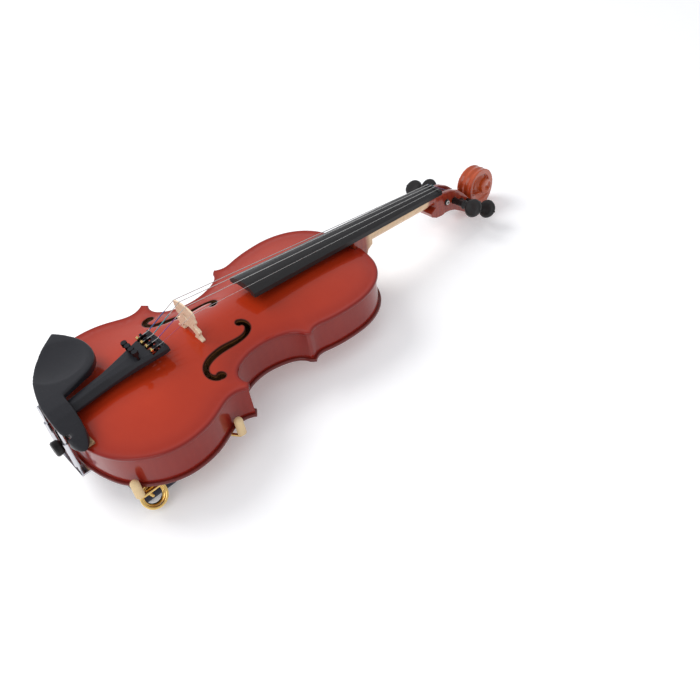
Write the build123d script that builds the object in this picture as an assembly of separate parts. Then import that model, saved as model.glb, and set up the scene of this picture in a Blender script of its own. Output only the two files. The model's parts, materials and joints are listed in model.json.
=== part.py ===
from build123d import *
import math
import os

# A full-size violin with its chin rest and shoulder rest, one solid per wooden or metal piece.
# It is drawn level: x runs from the tail to the scroll, +y is the bass side, z = 0 is the
# back plate's glue face. At the end it is laid down on its shoulder rest and its scroll.

# ---- Sound box ----
body_length = 356.0
model_length = 356.0
stretch = body_length / model_length
lower_half = 105.8
waist_half = 56.0
upper_half = 83.4
lower_bout_x = 72.0 * stretch
waist_x = 197.0 * stretch
upper_bout_inset = 69.0 * stretch
lower_corner_x = 146.0 * stretch
lower_corner_y = 92.4
upper_corner_x = 228.4 * stretch
upper_corner_y = 80.1
rib_height = 31.0
rib_thickness = 1.0
overhang = 2.75
edge_thickness = 4.0
plate_thickness = 3.2
top_arch = 12.0
back_arch = 11.0
hollow_inset = 9.0
lining_width = 2.0
lining_height = 7.0
neck_block_depth = 16.0
end_block_depth = 14.0
block_half_width = 26.0
corner_block_reach = 26.0
button_radius = 10.5

# ---- f-holes, bass bar, post ----
f_upper_eye = (188.5 * stretch, 22.3)
f_lower_eye = (135.8 * stretch, 63.8)
f_upper_eye_radius = 3.3
f_lower_eye_radius = 4.3
bass_bar_y = 17.0
bass_bar_width = 5.5
bass_bar_depth = 9.0
bass_bar_length = 262.0 * stretch
post_y = -18.0
post_setback = 8.0
post_radius = 3.1

# ---- Neck and head ----
neck_length = 130.5
overstand = 8.2
neck_drop = 5.66
neck_half_nut = 12.0
neck_half_heel = 15.6
neck_depth_nut = 13.2
neck_depth_heel = 15.5
heel_depth = 7.0
fingerboard_reach = 142.0
fingerboard_half_end = 21.0
fingerboard_edge = 4.8
fingerboard_radius = 42.0
nut_length = 5.0
nut_rise = 0.9
head_half_width = 12.6
throat_half_width = 10.6
cheek = 5.2
volute_radius = 22.0
eye_half_width = 21.0

# ---- Pegs: name, distance past the nut, drop below the nut's glue line, side of the head ----
peg_layout = (("g", 11.5, 14.0, 1), ("e", 24.7, 18.4, -1), ("d", 37.4, 25.6, 1), ("a", 49.4, 32.2, -1))
peg_radius_collar = 4.0
peg_radius_tip = 3.3
peg_clearance = 0.05
peg_collar_y = 27.0
peg_tip_y = 14.5
peg_head_radius = 11.0
peg_head_thickness = 11.0
winding_turns = 5

# ---- Bridge and strings: name, side (+1 bass), spacing step, radius ----
bridge_x = 148.7 * stretch
bridge_height = 33.5
bridge_crown_radius = 42.0
bridge_foot_half = 20.5
bridge_foot_thickness = 4.4
bridge_top_thickness = 1.5
bridge_spacing = 11.2
nut_spacing = 5.5
strings = (("g", 1.5, 0.42), ("d", 0.5, 0.39), ("a", -0.5, 0.34), ("e", -1.5, 0.18))

# ---- Tailpiece and its fine tuners (local: u forward, w up, from the tail end's underside) ----
tailpiece_start = 6.0
tailpiece_length = 111.0
tailpiece_lift = 8.0
tailpiece_rise = 6.6
tailpiece_height = 8.6
tail_half_width = 7.6
tail_head_half_width = 18.4
tuner_spacing = 8.4
tuner_slot_width = 5.2
tuner_pivot_back = 10.0
tuner_pivot_w = 2.6
tuner_arm_reach = 18.0
tuner_stem_radius = 1.25
tuner_knob_radius = 3.0
tuner_stem_spacing = 6.5
tuner_travel = 4.5
running_gap = 0.05
pin_radius = 0.9

# ---- Chin rest ----
chin_rise = 26.0
chin_thickness = 8.0
clamp_x = -4.0
clamp_y = 19.0
clamp_post_radius = 1.6
barrel_radius = 3.0
clamp_travel = 4.0
cork_thickness = 2.0

# ---- Shoulder rest ----
rest_x = 40.0
rest_width = 36.0
rest_half_span = 80.0
rest_bar_thickness = 2.5
rest_floor = -35.5
rest_bar_mid = -17.0
rest_bar_end = -13.0
rest_pad_half_span = 75.5
wire_radius = 1.6
sleeve_radius = 4.3
hoop_radius = 11.6
hoop_wire = 1.5
hoop_tilt = 35.0
hoop_x = 30.0
hoop_y = 83.5
hoop_z = -19.5
prong_near_x = 19.0
prong_far_x = 124.0
prong_top = 7.0
fork_z = -12.6
fork_y = 81.0
release_travel = 12.0
grip_gap = 0.35

UP = (0, 0, 1)
top_z = rib_height + edge_thickness
tailpiece_low = top_z + tailpiece_lift
chin_rim = top_z + chin_rise
nut_x = body_length + neck_length
neck_slope = math.tan(math.radians(neck_drop))
parts = {}


def glue_line(x):
    """Height of the neck's flat top at x."""
    return top_z + overstand - (x - body_length) * neck_slope


def rod(start, end, radius):
    reach = Vector(*end) - Vector(*start)
    base = Plane(origin=start, z_dir=reach)
    return base * Cylinder(radius, reach.length, align=(Align.CENTER, Align.CENTER, Align.MIN))


def block(x0, x1, y0, y1, z0, z1):
    return Pos((x0 + x1) / 2, (y0 + y1) / 2, (z0 + z1) / 2) * Box(abs(x1 - x0), abs(y1 - y0), abs(z1 - z0))


def side_plate(points, y0, y1):
    """A polygon of (x, z) points, as thick as y0 to y1."""
    outline = Wire.make_polygon([(x, y0, z) for x, z in points])
    return extrude(Face(outline), amount=y1 - y0, dir=(0, 1, 0))


def plan_plate(edges, z0, z1):
    return Pos(0, 0, z0) * extrude(Face(Wire(edges)), amount=z1 - z0, dir=UP)


# ---- The body's outline: one half, as runs of cubic curves between the corners ----
bout_scale = lower_half / 104
lcx, lcy, ucx, ucy = lower_corner_x, lower_corner_y, upper_corner_x, upper_corner_y
upper_bout_x = body_length - upper_bout_inset
lower_run = (
    ((0, 0), (0, 22 * bout_scale), (2, 38 * bout_scale), (9, 57 * bout_scale)),
    ((9, 57 * bout_scale), (18.5, 83 * bout_scale), (lower_bout_x - 28, lower_half),
     (lower_bout_x, lower_half)),
    ((lower_bout_x, lower_half), (lower_bout_x + 24, lower_half), (lower_bout_x + 35, lower_half - 8.5),
     (lower_bout_x + 47, lower_half - 14)),
    ((lower_bout_x + 47, lower_half - 14), (lower_bout_x + 55, lower_half - 17.5), (lcx - 11.5, lcy - 4.5),
     (lcx - 2.5, lcy + 2.5)),
)
waist_run = (
    ((lcx + 2.5, lcy - 4), (lcx - 2.5, lcy - 14), (lcx + 1.5, lcy - 25), (lcx + 14.5, waist_half + 5.5)),
    ((lcx + 14.5, waist_half + 5.5), (lcx + 26.5, waist_half - 0.5), (waist_x - 11, waist_half - 1.2),
     (waist_x, waist_half + 1.5)),
    ((waist_x, waist_half + 1.5), (waist_x + 15, waist_half + 5), (ucx - 6.7, ucy - 13),
     (ucx - 4.2, ucy - 3)),
)
upper_run = (
    ((ucx + 0.8, ucy + 2), (ucx + 5.3, ucy - 2), (ucx + 10, ucy - 4), (ucx + 18, ucy - 2)),
    ((ucx + 18, ucy - 2), (ucx + 30, ucy + 1.5), (upper_bout_x - 17, upper_half),
     (upper_bout_x, upper_half)),
    ((upper_bout_x, upper_half), (upper_bout_x + 31, upper_half), (body_length - 13, 0.8 * upper_half),
     (body_length - 5, 38)),
    ((body_length - 5, 38), (body_length - 1, 25), (body_length, 12), (body_length, 0)),
)
lower_tip = ((lcx - 2.5, lcy + 2.5), (lcx - 1, lcy + 1), (lcx + 1.5, lcy - 2.5), (lcx + 2.5, lcy - 4))
upper_tip = ((ucx - 4.2, ucy - 3), (ucx - 2.7, ucy - 0.5), (ucx - 0.2, ucy + 1.5), (ucx + 0.8, ucy + 2))
half_outline = lower_run + (lower_tip,) + waist_run + (upper_tip,) + upper_run


def curve_point(cubic, t, inset=0.0):
    """A point on a cubic, moved inwards across the curve by inset."""
    a, b, c, d = cubic
    s = 1 - t
    x, y = (s**3 * a[i] + 3 * s * s * t * b[i] + 3 * s * t * t * c[i] + t**3 * d[i] for i in (0, 1))
    dx, dy = (s * s * (b[i] - a[i]) + 2 * s * t * (c[i] - b[i]) + t * t * (d[i] - c[i]) for i in (0, 1))
    size = math.hypot(dx, dy)
    return x + inset * dy / size, y - inset * dx / size


def run_point(run, s, inset):
    """A point on an inset run, where s counts its cubics."""
    index = min(int(s), len(run) - 1)
    return curve_point(run[index], s - index, inset)


def meeting(run_a, run_b, inset):
    """Where the end of one inset run crosses the start of the next."""
    centre_a, centre_b, span, steps = len(run_a) - 0.5, 0.5, 0.5, 24
    for _ in range(7):
        tries = []
        for i in range(steps + 1):
            for j in range(steps + 1):
                sa = min(len(run_a), centre_a + span * (2 * i / steps - 1))
                sb = max(0.0, centre_b + span * (2 * j / steps - 1))
                pa = run_point(run_a, sa, inset)
                pb = run_point(run_b, sb, inset)
                tries.append((math.hypot(pa[0] - pb[0], pa[1] - pb[1]), sa, sb, pa))
        _, centre_a, centre_b, point = min(tries)
        span *= 0.2
    return centre_a, centre_b, point


def inset_runs(inset):
    """The three runs at an inset, each as points that meet exactly at the corners."""
    low_end, waist_start, low_point = meeting(lower_run, waist_run, inset)
    waist_end, up_start, up_point = meeting(waist_run, upper_run, inset)
    spans = ((lower_run, 0, low_end), (waist_run, waist_start, waist_end),
             (upper_run, up_start, len(upper_run)))
    runs = []
    for run, s0, s1 in spans:
        count = 5 * len(run) + 1
        runs.append([run_point(run, s0 + (s1 - s0) * i / (count - 1), inset) for i in range(count)])
    runs[0][-1] = runs[1][0] = low_point
    runs[1][-1] = runs[2][0] = up_point
    return runs


def spline_through(points, side):
    return Edge.make_spline([(x, side * y, 0) for x, y in points])


def inset_face(inset):
    edges = [spline_through(run, side) for side in (1, -1) for run in inset_runs(inset)]
    return Face(Wire(edges))


def rib_band(run_outer, run_inner, side):
    outer = spline_through(run_outer, side)
    inner = spline_through(run_inner, side)
    closing = [Edge.make_line(outer @ 0, inner @ 0), Edge.make_line(outer @ 1, inner @ 1)]
    return Face(Wire([outer, inner] + closing))


outline_edges = [Bezier(*[(x, side * y) for x, y in cubic]) for side in (1, -1) for cubic in half_outline]
outline_face = Face(Wire(outline_edges))
rib_outer = inset_runs(overhang)
rib_inner = inset_runs(overhang + rib_thickness)
hollow_face = inset_face(overhang + rib_thickness)
lining_face = inset_face(overhang + rib_thickness + lining_width)
plate_hollow_face = inset_face(hollow_inset)

# ---- Arching ----
outline_samples = [curve_point(cubic, i / 20) for cubic in half_outline for i in range(21)]


def outline_half(x):
    near = [y for px, y in outline_samples if abs(px - x) < 4]
    return sum(near) / len(near) if near else 0.0


width_table = [outline_half(4 * i) for i in range(int(body_length / 4) + 1)]


def arch_half(x):
    """Half width that the arching spreads over, smoothed past the corners."""
    total = weight = 0.0
    for i, width in enumerate(width_table):
        share = max(0.0, 1 - abs(4 * i - x) / 22)
        total += share * width
        weight += share
    return 0.97 * total / weight


def arch(x, y):
    """Rise of the arching as a share of its height."""
    u = abs(2 * x / body_length - 1)
    if u >= 1:
        return 0.0
    s = abs(y) / arch_half(x)
    if s >= 1:
        return 0.0
    return (1 - u**2.5) ** 1.15 * (1 - s * s) ** 2


def arched_face(base, height):
    margin = 12.0
    columns, rows = 46, 33
    grid = []
    for i in range(columns):
        x = -margin + (body_length + 2 * margin) * i / (columns - 1)
        row = []
        for j in range(rows):
            y = (lower_half + margin) * (2 * j / (rows - 1) - 1)
            row.append(Vector(x, y, base + height * arch(x, y)))
        grid.append(row)
    return Face.make_surface_from_array_of_points(grid, tol=0.02, max_deg=5)


top_face = arched_face(top_z, top_arch)
under_top = extrude(top_face, amount=80, dir=(0, 0, -1))
under_top_inside = Pos(0, 0, -plate_thickness) * under_top
back_face = arched_face(-edge_thickness, -back_arch)
over_back = extrude(back_face, amount=80, dir=(0, 0, 1))
over_back_inside = Pos(0, 0, plate_thickness) * over_back

# ---- f-holes ----
f_stem = (
    (191.5, 20.2), (195.2, 25.5), (194.6, 32.0), (189.5, 36.8), (181.0, 39.4), (171.0, 40.3), (160.0, 40.9),
    (148.5, 42.8), (138.5, 45.8), (131.6, 50.4), (129.6, 56.0), (131.6, 60.2), (135.8, 63.8), (133.5, 67.2),
    (128.6, 65.2), (125.4, 59.5), (126.0, 51.5), (130.0, 44.8), (137.5, 39.6), (147.0, 36.6), (159.5, 34.6),
    (171.5, 35.0), (181.5, 34.9), (188.0, 32.2), (190.3, 28.0), (188.6, 23.4),
)
f_height = 70
f_edge = Edge.make_spline([(x * stretch, y, 0) for x, y in f_stem], periodic=True)
f_solid = extrude(Face(Wire([f_edge])), amount=f_height, dir=UP)
for (eye_x, eye_y), eye_radius in ((f_upper_eye, f_upper_eye_radius), (f_lower_eye, f_lower_eye_radius)):
    f_solid += Pos(eye_x, eye_y, f_height / 2) * Cylinder(eye_radius, f_height)
f_bass = Pos(0, 0, rib_height - 5) * f_solid
f_treble = mirror(f_bass, about=Plane.XZ)

# ---- Plates ----
top_blank = Pos(0, 0, rib_height) * extrude(outline_face, amount=40, dir=UP)
top_cavity = (Pos(0, 0, rib_height - 1) * extrude(plate_hollow_face, amount=40, dir=UP)) & under_top_inside
parts["top_plate"] = (top_blank & under_top) - top_cavity - f_bass - f_treble

button = Pos(body_length, 0, -edge_thickness / 2) * Cylinder(button_radius, edge_thickness)
back_blank = Pos(0, 0, -40) * extrude(outline_face, amount=40, dir=UP)
back_cavity = (Pos(0, 0, -39) * extrude(plate_hollow_face, amount=40, dir=UP)) & over_back_inside
parts["back_plate"] = (back_blank & over_back) - back_cavity + button

# ---- Ribs, blocks and linings ----
heel_slot = block(body_length - heel_depth, body_length + 20, -neck_half_heel, neck_half_heel, 0, 60)
for side, side_name in ((1, "bass"), (-1, "treble")):
    for name, outer, inner in zip(("lower", "waist", "upper"), rib_outer, rib_inner):
        rib = extrude(rib_band(outer, inner, side), amount=rib_height, dir=UP)
        parts[f"rib_{name}_{side_name}"] = rib - heel_slot

hollow = extrude(hollow_face, amount=rib_height, dir=UP)
inner_end = body_length - overhang - rib_thickness
inner_start = overhang + rib_thickness
neck_block = block(inner_end - neck_block_depth, body_length, -block_half_width, block_half_width, 0, rib_height)
parts["neck_block"] = (neck_block & hollow) - heel_slot
end_bore = rod((-1, 0, rib_height / 2), (60, 0, rib_height / 2), 3.9)
end_block = block(0, inner_start + end_block_depth, -block_half_width, block_half_width, 0, rib_height)
parts["end_block"] = (end_block & hollow) - end_bore

corner_blocks = []
for side in (1, -1):
    for tip_x, tip_y, lean in ((lcx, lcy, -0.64), (ucx, ucy, 0.30)):
        cx = tip_x + lean * 8
        corner = block(cx - corner_block_reach / 2, cx + corner_block_reach / 2, side * (tip_y - 22),
                       side * (tip_y + 6), 0, rib_height)
        corner_blocks.append(corner & hollow)
parts["corner_blocks"] = corner_blocks

lining_ring = extrude(hollow_face, amount=lining_height, dir=UP)
lining_ring -= extrude(lining_face, amount=lining_height, dir=UP)
for blank in [neck_block, end_block] + corner_blocks:
    lining_ring -= blank
linings = list(lining_ring.solids()) + [
    Pos(0, 0, rib_height - lining_height) * strip for strip in lining_ring.solids()]
parts["linings"] = linings

# ---- Bass bar and sound post ----
bar_middle = body_length / 2 - 6
bar_bow = Edge.make_three_point_arc(
    (bar_middle - bass_bar_length / 2, 0, rib_height + 1.0),
    (bar_middle, 0, top_z + top_arch - plate_thickness - bass_bar_depth),
    (bar_middle + bass_bar_length / 2, 0, rib_height + 1.0))
bar_top = [(bar_middle + bass_bar_length / 2, 0, top_z + 20), (bar_middle - bass_bar_length / 2, 0, top_z + 20)]
bar_sides = [Edge.make_line(bar_bow @ 1, bar_top[0]), Edge.make_line(*bar_top),
             Edge.make_line(bar_top[1], bar_bow @ 0)]
bar_blank = extrude(Face(Wire([bar_bow] + bar_sides)), amount=bass_bar_width / 2, both=True, dir=(0, 1, 0))
parts["bass_bar"] = (Pos(0, bass_bar_y, 0) * bar_blank) & under_top_inside
post = Pos(bridge_x - post_setback, post_y, 10) * Cylinder(post_radius, 110)
parts["sound_post"] = post & under_top_inside & over_back_inside

# ---- Fingerboard and nut ----
fingerboard_x = body_length - fingerboard_reach


def crowned_section(x, half, edge, drop):
    """A flat-bottomed, round-topped slice across the neck at x."""
    base = glue_line(x)
    crown = edge + fingerboard_radius - math.sqrt(fingerboard_radius**2 - half**2)
    low_left = (x, -half, base - drop)
    low_right = (x, half, base - drop)
    high_right = (x, half, base + edge)
    high_left = (x, -half, base + edge)
    arc = Edge.make_three_point_arc(high_right, (x, 0, base + crown), high_left)
    lines = [Edge.make_line(low_left, low_right), Edge.make_line(low_right, high_right),
             Edge.make_line(high_left, low_left)]
    return Face(Wire([lines[0], lines[1], arc, lines[2]]))


board = loft([crowned_section(fingerboard_x, fingerboard_half_end, fingerboard_edge, 0),
              crowned_section(nut_x, neck_half_nut, fingerboard_edge, 0)], ruled=True)
scoop_end = body_length - 8
scoop_start_plane = Plane(origin=(fingerboard_x - 1, 0, glue_line(fingerboard_x - 1)), z_dir=(1, 0, 0))
scoop_end_plane = Plane(origin=(scoop_end, 0, glue_line(scoop_end) - 1.2), z_dir=(1, 0, 0))
scoop = loft([scoop_start_plane * Rectangle(5.6, 28), scoop_end_plane * Rectangle(1.4, 22)], ruled=True)
parts["fingerboard"] = board - scoop

# ---- Strings: route of each one ----
bridge_seat = top_z + top_arch
crown_centre = bridge_seat + bridge_height - bridge_crown_radius
nut_end = nut_x + nut_length


def bridge_top(y):
    return crown_centre + math.sqrt(bridge_crown_radius**2 - y * y)


def nut_top(y):
    crown = fingerboard_edge + fingerboard_radius - math.sqrt(fingerboard_radius**2 - neck_half_nut**2)
    sag = fingerboard_radius - math.sqrt(fingerboard_radius**2 - y * y)
    return glue_line(nut_x) + crown + nut_rise - sag


tail_frame = Location((tailpiece_start, 0, tailpiece_low), (0, -tailpiece_rise, 0))


def tail_point(u, y, w):
    """A point of the tailpiece's own frame, in the violin's."""
    angle = math.radians(tailpiece_rise)
    x = tailpiece_start + u * math.cos(angle) - w * math.sin(angle)
    return x, y, tailpiece_low + u * math.sin(angle) + w * math.cos(angle)


tuner_pivot_u = tailpiece_length - tuner_pivot_back
hook_w = tailpiece_height + 1.2
fret_u = tailpiece_length - 2.0
fret_w = tailpiece_height + 0.6
peg_places = {name: (nut_x + past, glue_line(nut_x) - drop, side) for name, past, drop, side in peg_layout}
string_routes = {}
for name, step, radius in strings:
    tail_y = step * tuner_spacing
    bridge_y = step * bridge_spacing
    nut_y = step * nut_spacing
    peg_x, peg_z, peg_side = peg_places[name]
    wrap = peg_radius_collar + peg_clearance + radius
    over = Vector(nut_end - 1.5, nut_y, nut_top(nut_y) + radius)
    run = math.hypot(peg_x - over.X, peg_z - over.Z)
    wind_y = step * 2.6
    reach = math.sqrt(run * run - wrap * wrap)
    slope = math.atan2(over.Z - peg_z, peg_x - over.X)
    swing = math.asin(wrap / run)
    tangent = (over.X + reach * math.cos(slope - swing), wind_y, over.Z - reach * math.sin(slope - swing))
    string_routes[name] = [
        tail_point(tuner_pivot_u - 2.6, tail_y, hook_w),
        tail_point(fret_u, tail_y, fret_w + radius),
        (bridge_x, bridge_y, bridge_top(bridge_y) + radius),
        (nut_x + 1.0, nut_y, nut_top(nut_y) + radius),
        tuple(over),
        tangent,
    ]


def string_tube(name, radius):
    """One string: straight between its bearings, with its turns round the peg."""
    route = string_routes[name]
    tube = rod(route[0], route[1], radius)
    for start, end in zip(route[1:-1], route[2:]):
        tube += rod(start, end, radius) + Pos(*start) * Sphere(radius * 1.02)
    ball_x, ball_y, ball_z = tail_point(tuner_pivot_u - 3.4, route[0][1], hook_w)
    ball = rod((ball_x, ball_y - 1.6, ball_z), (ball_x, ball_y + 1.6, ball_z), 1.6)
    peg_x, peg_z, _ = peg_places[name]
    inner = peg_radius_collar + peg_clearance
    width = max(winding_turns * 2 * radius, 2.0)
    ring = Cylinder(inner + 2 * radius, width) - Cylinder(inner, width)
    winding = Pos(peg_x, route[-1][1], peg_z) * Rot(90, 0, 0) * ring
    return tube + ball + winding


for name, step, radius in strings:
    parts[f"string_{name}"] = string_tube(name, radius)

# ---- Bridge ----
half_crown = bridge_foot_half - 1.2
foot_low = top_z - 1
seat = bridge_seat
side_points = [
    (bridge_foot_half, foot_low), (bridge_foot_half, seat + 1.6), (bridge_foot_half - 3.4, seat + 3.6),
    (bridge_foot_half - 5.0, seat + 7.5), (bridge_foot_half - 6.4, seat + 12.0), (bridge_foot_half - 2.2, seat + 16.5),
    (bridge_foot_half + 0.4, seat + 20.5), (half_crown, bridge_top(half_crown)),
]
arch_points = [(8.6, foot_low), (8.8, seat + 2.2), (6.2, seat + 5.6)]


def bridge_blank():
    right = [(0, y, z) for y, z in side_points]
    left = [(0, -y, z) for y, z in side_points]
    gate = [(0, y, z) for y, z in arch_points]
    gate_left = [(0, -y, z) for y, z in arch_points]
    crown = Edge.make_three_point_arc(right[-1], (0, 0, bridge_top(0)), left[-1])
    gate_arc = Edge.make_three_point_arc(gate_left[-1], (0, 0, seat + 7.6), gate[-1])
    chains = [right[:2], right[1:3], right[2:4], right[3:5], right[4:6], right[5:7], right[6:8]]
    chains += [[a, b] for a, b in zip(left[:-1], left[1:])]
    for posts_of in (gate, gate_left):
        chains += [[a, b] for a, b in zip(posts_of[:-1], posts_of[1:])]
    chains += [[right[0], gate[0]], [left[0], gate_left[0]]]
    face = Face(Wire([Edge.make_line(a, b) for a, b in chains] + [crown, gate_arc]))
    return extrude(face, amount=bridge_foot_thickness / 2, both=True, dir=(1, 0, 0))


taper_base = bridge_foot_thickness / 2
taper_top = bridge_top_thickness / 2
taper_z = seat + bridge_height + 1
bridge_taper = side_plate([(-taper_base, foot_low - 1), (taper_base, foot_low - 1), (taper_base, seat + 4),
                           (taper_top, taper_z), (-taper_top, taper_z), (-taper_base, seat + 4)], -30, 30)
bridge = bridge_blank() & bridge_taper
heart = Pos(0, 0, seat + 17.5) * Rot(0, 90, 0) * Cylinder(3.2, 10)
bridge -= heart + Pos(0, 0, seat + 21.5) * Rot(0, 90, 0) * Cylinder(1.7, 10)
for side in (1, -1):
    bridge -= Pos(0, side * 12.6, seat + 15.0) * Rot(0, 90, 0) * Cylinder(3.0, 10)
    bridge -= block(-5, 5, side * 12.6, side * 20, seat + 12.9, seat + 14.6)
bridge = Pos(bridge_x, 0, 0) * bridge - under_top
for name, _, radius in strings:
    route = string_routes[name]
    bridge -= rod(route[1], route[2], radius + 0.02) + rod(route[2], route[3], radius + 0.02)
    bridge -= Pos(*route[2]) * Sphere(radius * 1.02 + 0.02)
parts["bridge"] = max(bridge.solids(), key=lambda piece: piece.volume)

# ---- Nut and saddle ----
nut_blank = loft([crowned_section(nut_x, neck_half_nut, fingerboard_edge + nut_rise, 0),
                                 crowned_section(nut_end, neck_half_nut, fingerboard_edge + nut_rise - 0.4, 0)], ruled=True)
for name, _, radius in strings:
    route = string_routes[name]
    for start, end in zip(route[2:5], route[3:6]):
        nut_blank -= rod(start, end, radius + 0.03)
    for point in route[3:5]:
        nut_blank -= Pos(*point) * Sphere(radius * 1.02 + 0.03)
parts["nut"] = max(nut_blank.solids(), key=lambda piece: piece.volume)
saddle_half, saddle_depth, saddle_top = 17.0, 6.5, top_z + 3.2
saddle = side_plate([(0.6, rib_height), (saddle_depth, rib_height), (saddle_depth, saddle_top - 1.2),
                     (4.0, saddle_top), (1.6, saddle_top - 0.3), (0.6, saddle_top - 1.4)], -saddle_half, saddle_half)
parts["top_plate"] -= heel_slot + block(-2, saddle_depth, -saddle_half, saddle_half, rib_height, top_z + 5)
parts["saddle"] = saddle

# ---- End button, tailgut ----
button_z = rib_height / 2
shank_length = overhang + rib_thickness + end_block_depth - 1
shank = Cone(3.85, 3.3, shank_length, align=(Align.CENTER, Align.CENTER, Align.MIN))
shank = Pos(overhang - 0.6, 0, button_z) * Rot(0, 90, 0) * shank
button_profile = [(overhang, 0), (overhang, 6.6), (overhang - 2.6, 6.8), (overhang - 4.0, 4.9), (overhang - 7.6, 4.9),
                  (overhang - 10.0, 7.4), (overhang - 14.8, 7.8), (overhang - 16.2, 6.6), (overhang - 16.2, 0)]
button_ring = revolve(Face(Wire.make_polygon([(x, r, button_z) for x, r in button_profile])),
                      Axis((0, 0, button_z), (1, 0, 0)))
parts["end_button"] = button_ring + shank
rib_bore = rod((-5, 0, button_z), (overhang + rib_thickness + 0.5, 0, button_z), 3.9)
for side_name in ("bass", "treble"):
    parts[f"rib_lower_{side_name}"] -= rib_bore
gut_radius, gut_y = 1.0, 3.2
gut_path = []
loop_x = overhang - 5.8
gut_points = [tail_point(9, gut_y, -1.2), (5.0, gut_y, saddle_top + gut_radius + 0.3),
              (-0.6, gut_y + 0.7, saddle_top + 0.3),
              (loop_x, 5.4 + gut_radius - 0.4, top_z - 6), (loop_x, 5.4 + gut_radius - 0.4, button_z)]
gut = None
for side in (1, -1):
    points = [(x, side * y, z) for x, y, z in gut_points]
    for start, end in zip(points[:-1], points[1:]):
        run = rod(start, end, gut_radius) + Pos(*end) * Sphere(gut_radius)
        gut = run if gut is None else gut + run
    nut_start = points[0]
    gut += rod(nut_start, tail_point(3.5, side * gut_y, -1.2), gut_radius)
loop = Pos(loop_x, 0, button_z) * Rot(0, 90, 0) * Torus(5.4 + gut_radius - 0.4, gut_radius)
gut += loop & block(-20, 10, -20, 20, -5, button_z)
parts["tailgut"] = gut

# ---- Tailpiece ----
def tail_section(u, top_half, low_half, height, shoulder):
    points = [(u, -low_half, 0), (u, low_half, 0), (u, low_half, shoulder), (u, top_half, height - 0.5),
              (u, 0, height), (u, -top_half, height - 0.5), (u, -low_half, shoulder)]
    return Face(Wire.make_polygon(points))


tail_sections = [
    (0, 3.2, tail_half_width - 1.4, tailpiece_height - 1.6, 3.0),
    (5, 3.6, tail_half_width, tailpiece_height, 2.6),
    (tailpiece_length - 60, 5.4, tail_half_width + 1.6, tailpiece_height, 3.0),
    (tailpiece_length - 33, 10.2, tail_head_half_width - 5.2, tailpiece_height, 4.9),
    (tailpiece_length - 5, tail_head_half_width - 2.2, tail_head_half_width, tailpiece_height - 0.4, 4.9),
    (tailpiece_length, tail_head_half_width - 2.0, tail_head_half_width - 0.6, tailpiece_height - 1.6, 4.2),
]
tailpiece = loft([tail_section(*row) for row in tail_sections], ruled=True)
pocket_rear = tuner_pivot_u - tuner_arm_reach - 5
pocket_front = tuner_pivot_u + 4.2
pocket_roof = 4.6
pocket_half_front = tail_head_half_width - 2.2
pocket_half_rear = tail_head_half_width - 7.0
pocket = Face(Wire.make_polygon([(pocket_rear, -pocket_half_rear, -3), (pocket_rear, pocket_half_rear, -3),
                                 (pocket_front, pocket_half_front, -3), (pocket_front, -pocket_half_front, -3)]))
tailpiece -= extrude(pocket, amount=pocket_roof + 3, dir=UP)
tailpiece -= block(-1, 16, -5.2, 5.2, -3, 3.4)
tuner_ys = {name: step * tuner_spacing for name, step, _ in strings}
stem_rows = {name: (tuner_pivot_u - tuner_arm_reach, step * tuner_stem_spacing) for name, step, _ in strings}
fret_base = tailpiece_height - 0.9
for name, y in tuner_ys.items():
    half_slot = tuner_slot_width / 2
    tailpiece -= block(tuner_pivot_u - 6.0, tuner_pivot_u + 4.2, y - half_slot, y + half_slot, 2, 20)
    stem_u, stem_y = stem_rows[name]
    tailpiece -= rod((stem_u, stem_y, -2), (stem_u, stem_y, 20), tuner_stem_radius + running_gap)
pin_ends = tail_head_half_width - 1.2
tuner_pin = rod((tuner_pivot_u, -pin_ends, tuner_pivot_w), (tuner_pivot_u, pin_ends, tuner_pivot_w), pin_radius)
tailpiece -= tuner_pin
fret = rod((fret_u, -tail_head_half_width + 2.6, fret_base), (fret_u, tail_head_half_width - 2.6, fret_base), 1.5)
tailpiece += fret
tailpiece = tail_frame * tailpiece
for name, _, radius in strings:
    route = string_routes[name]
    tailpiece -= rod(route[0], route[1], radius + 0.03) + rod(route[1], route[2], radius + 0.03)
    tailpiece -= Pos(*route[1]) * Sphere(radius * 1.02 + 0.03)
parts["tailpiece"] = max(tailpiece.solids(), key=lambda piece: piece.volume)
parts["tuner_pin"] = tail_frame * tuner_pin

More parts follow.
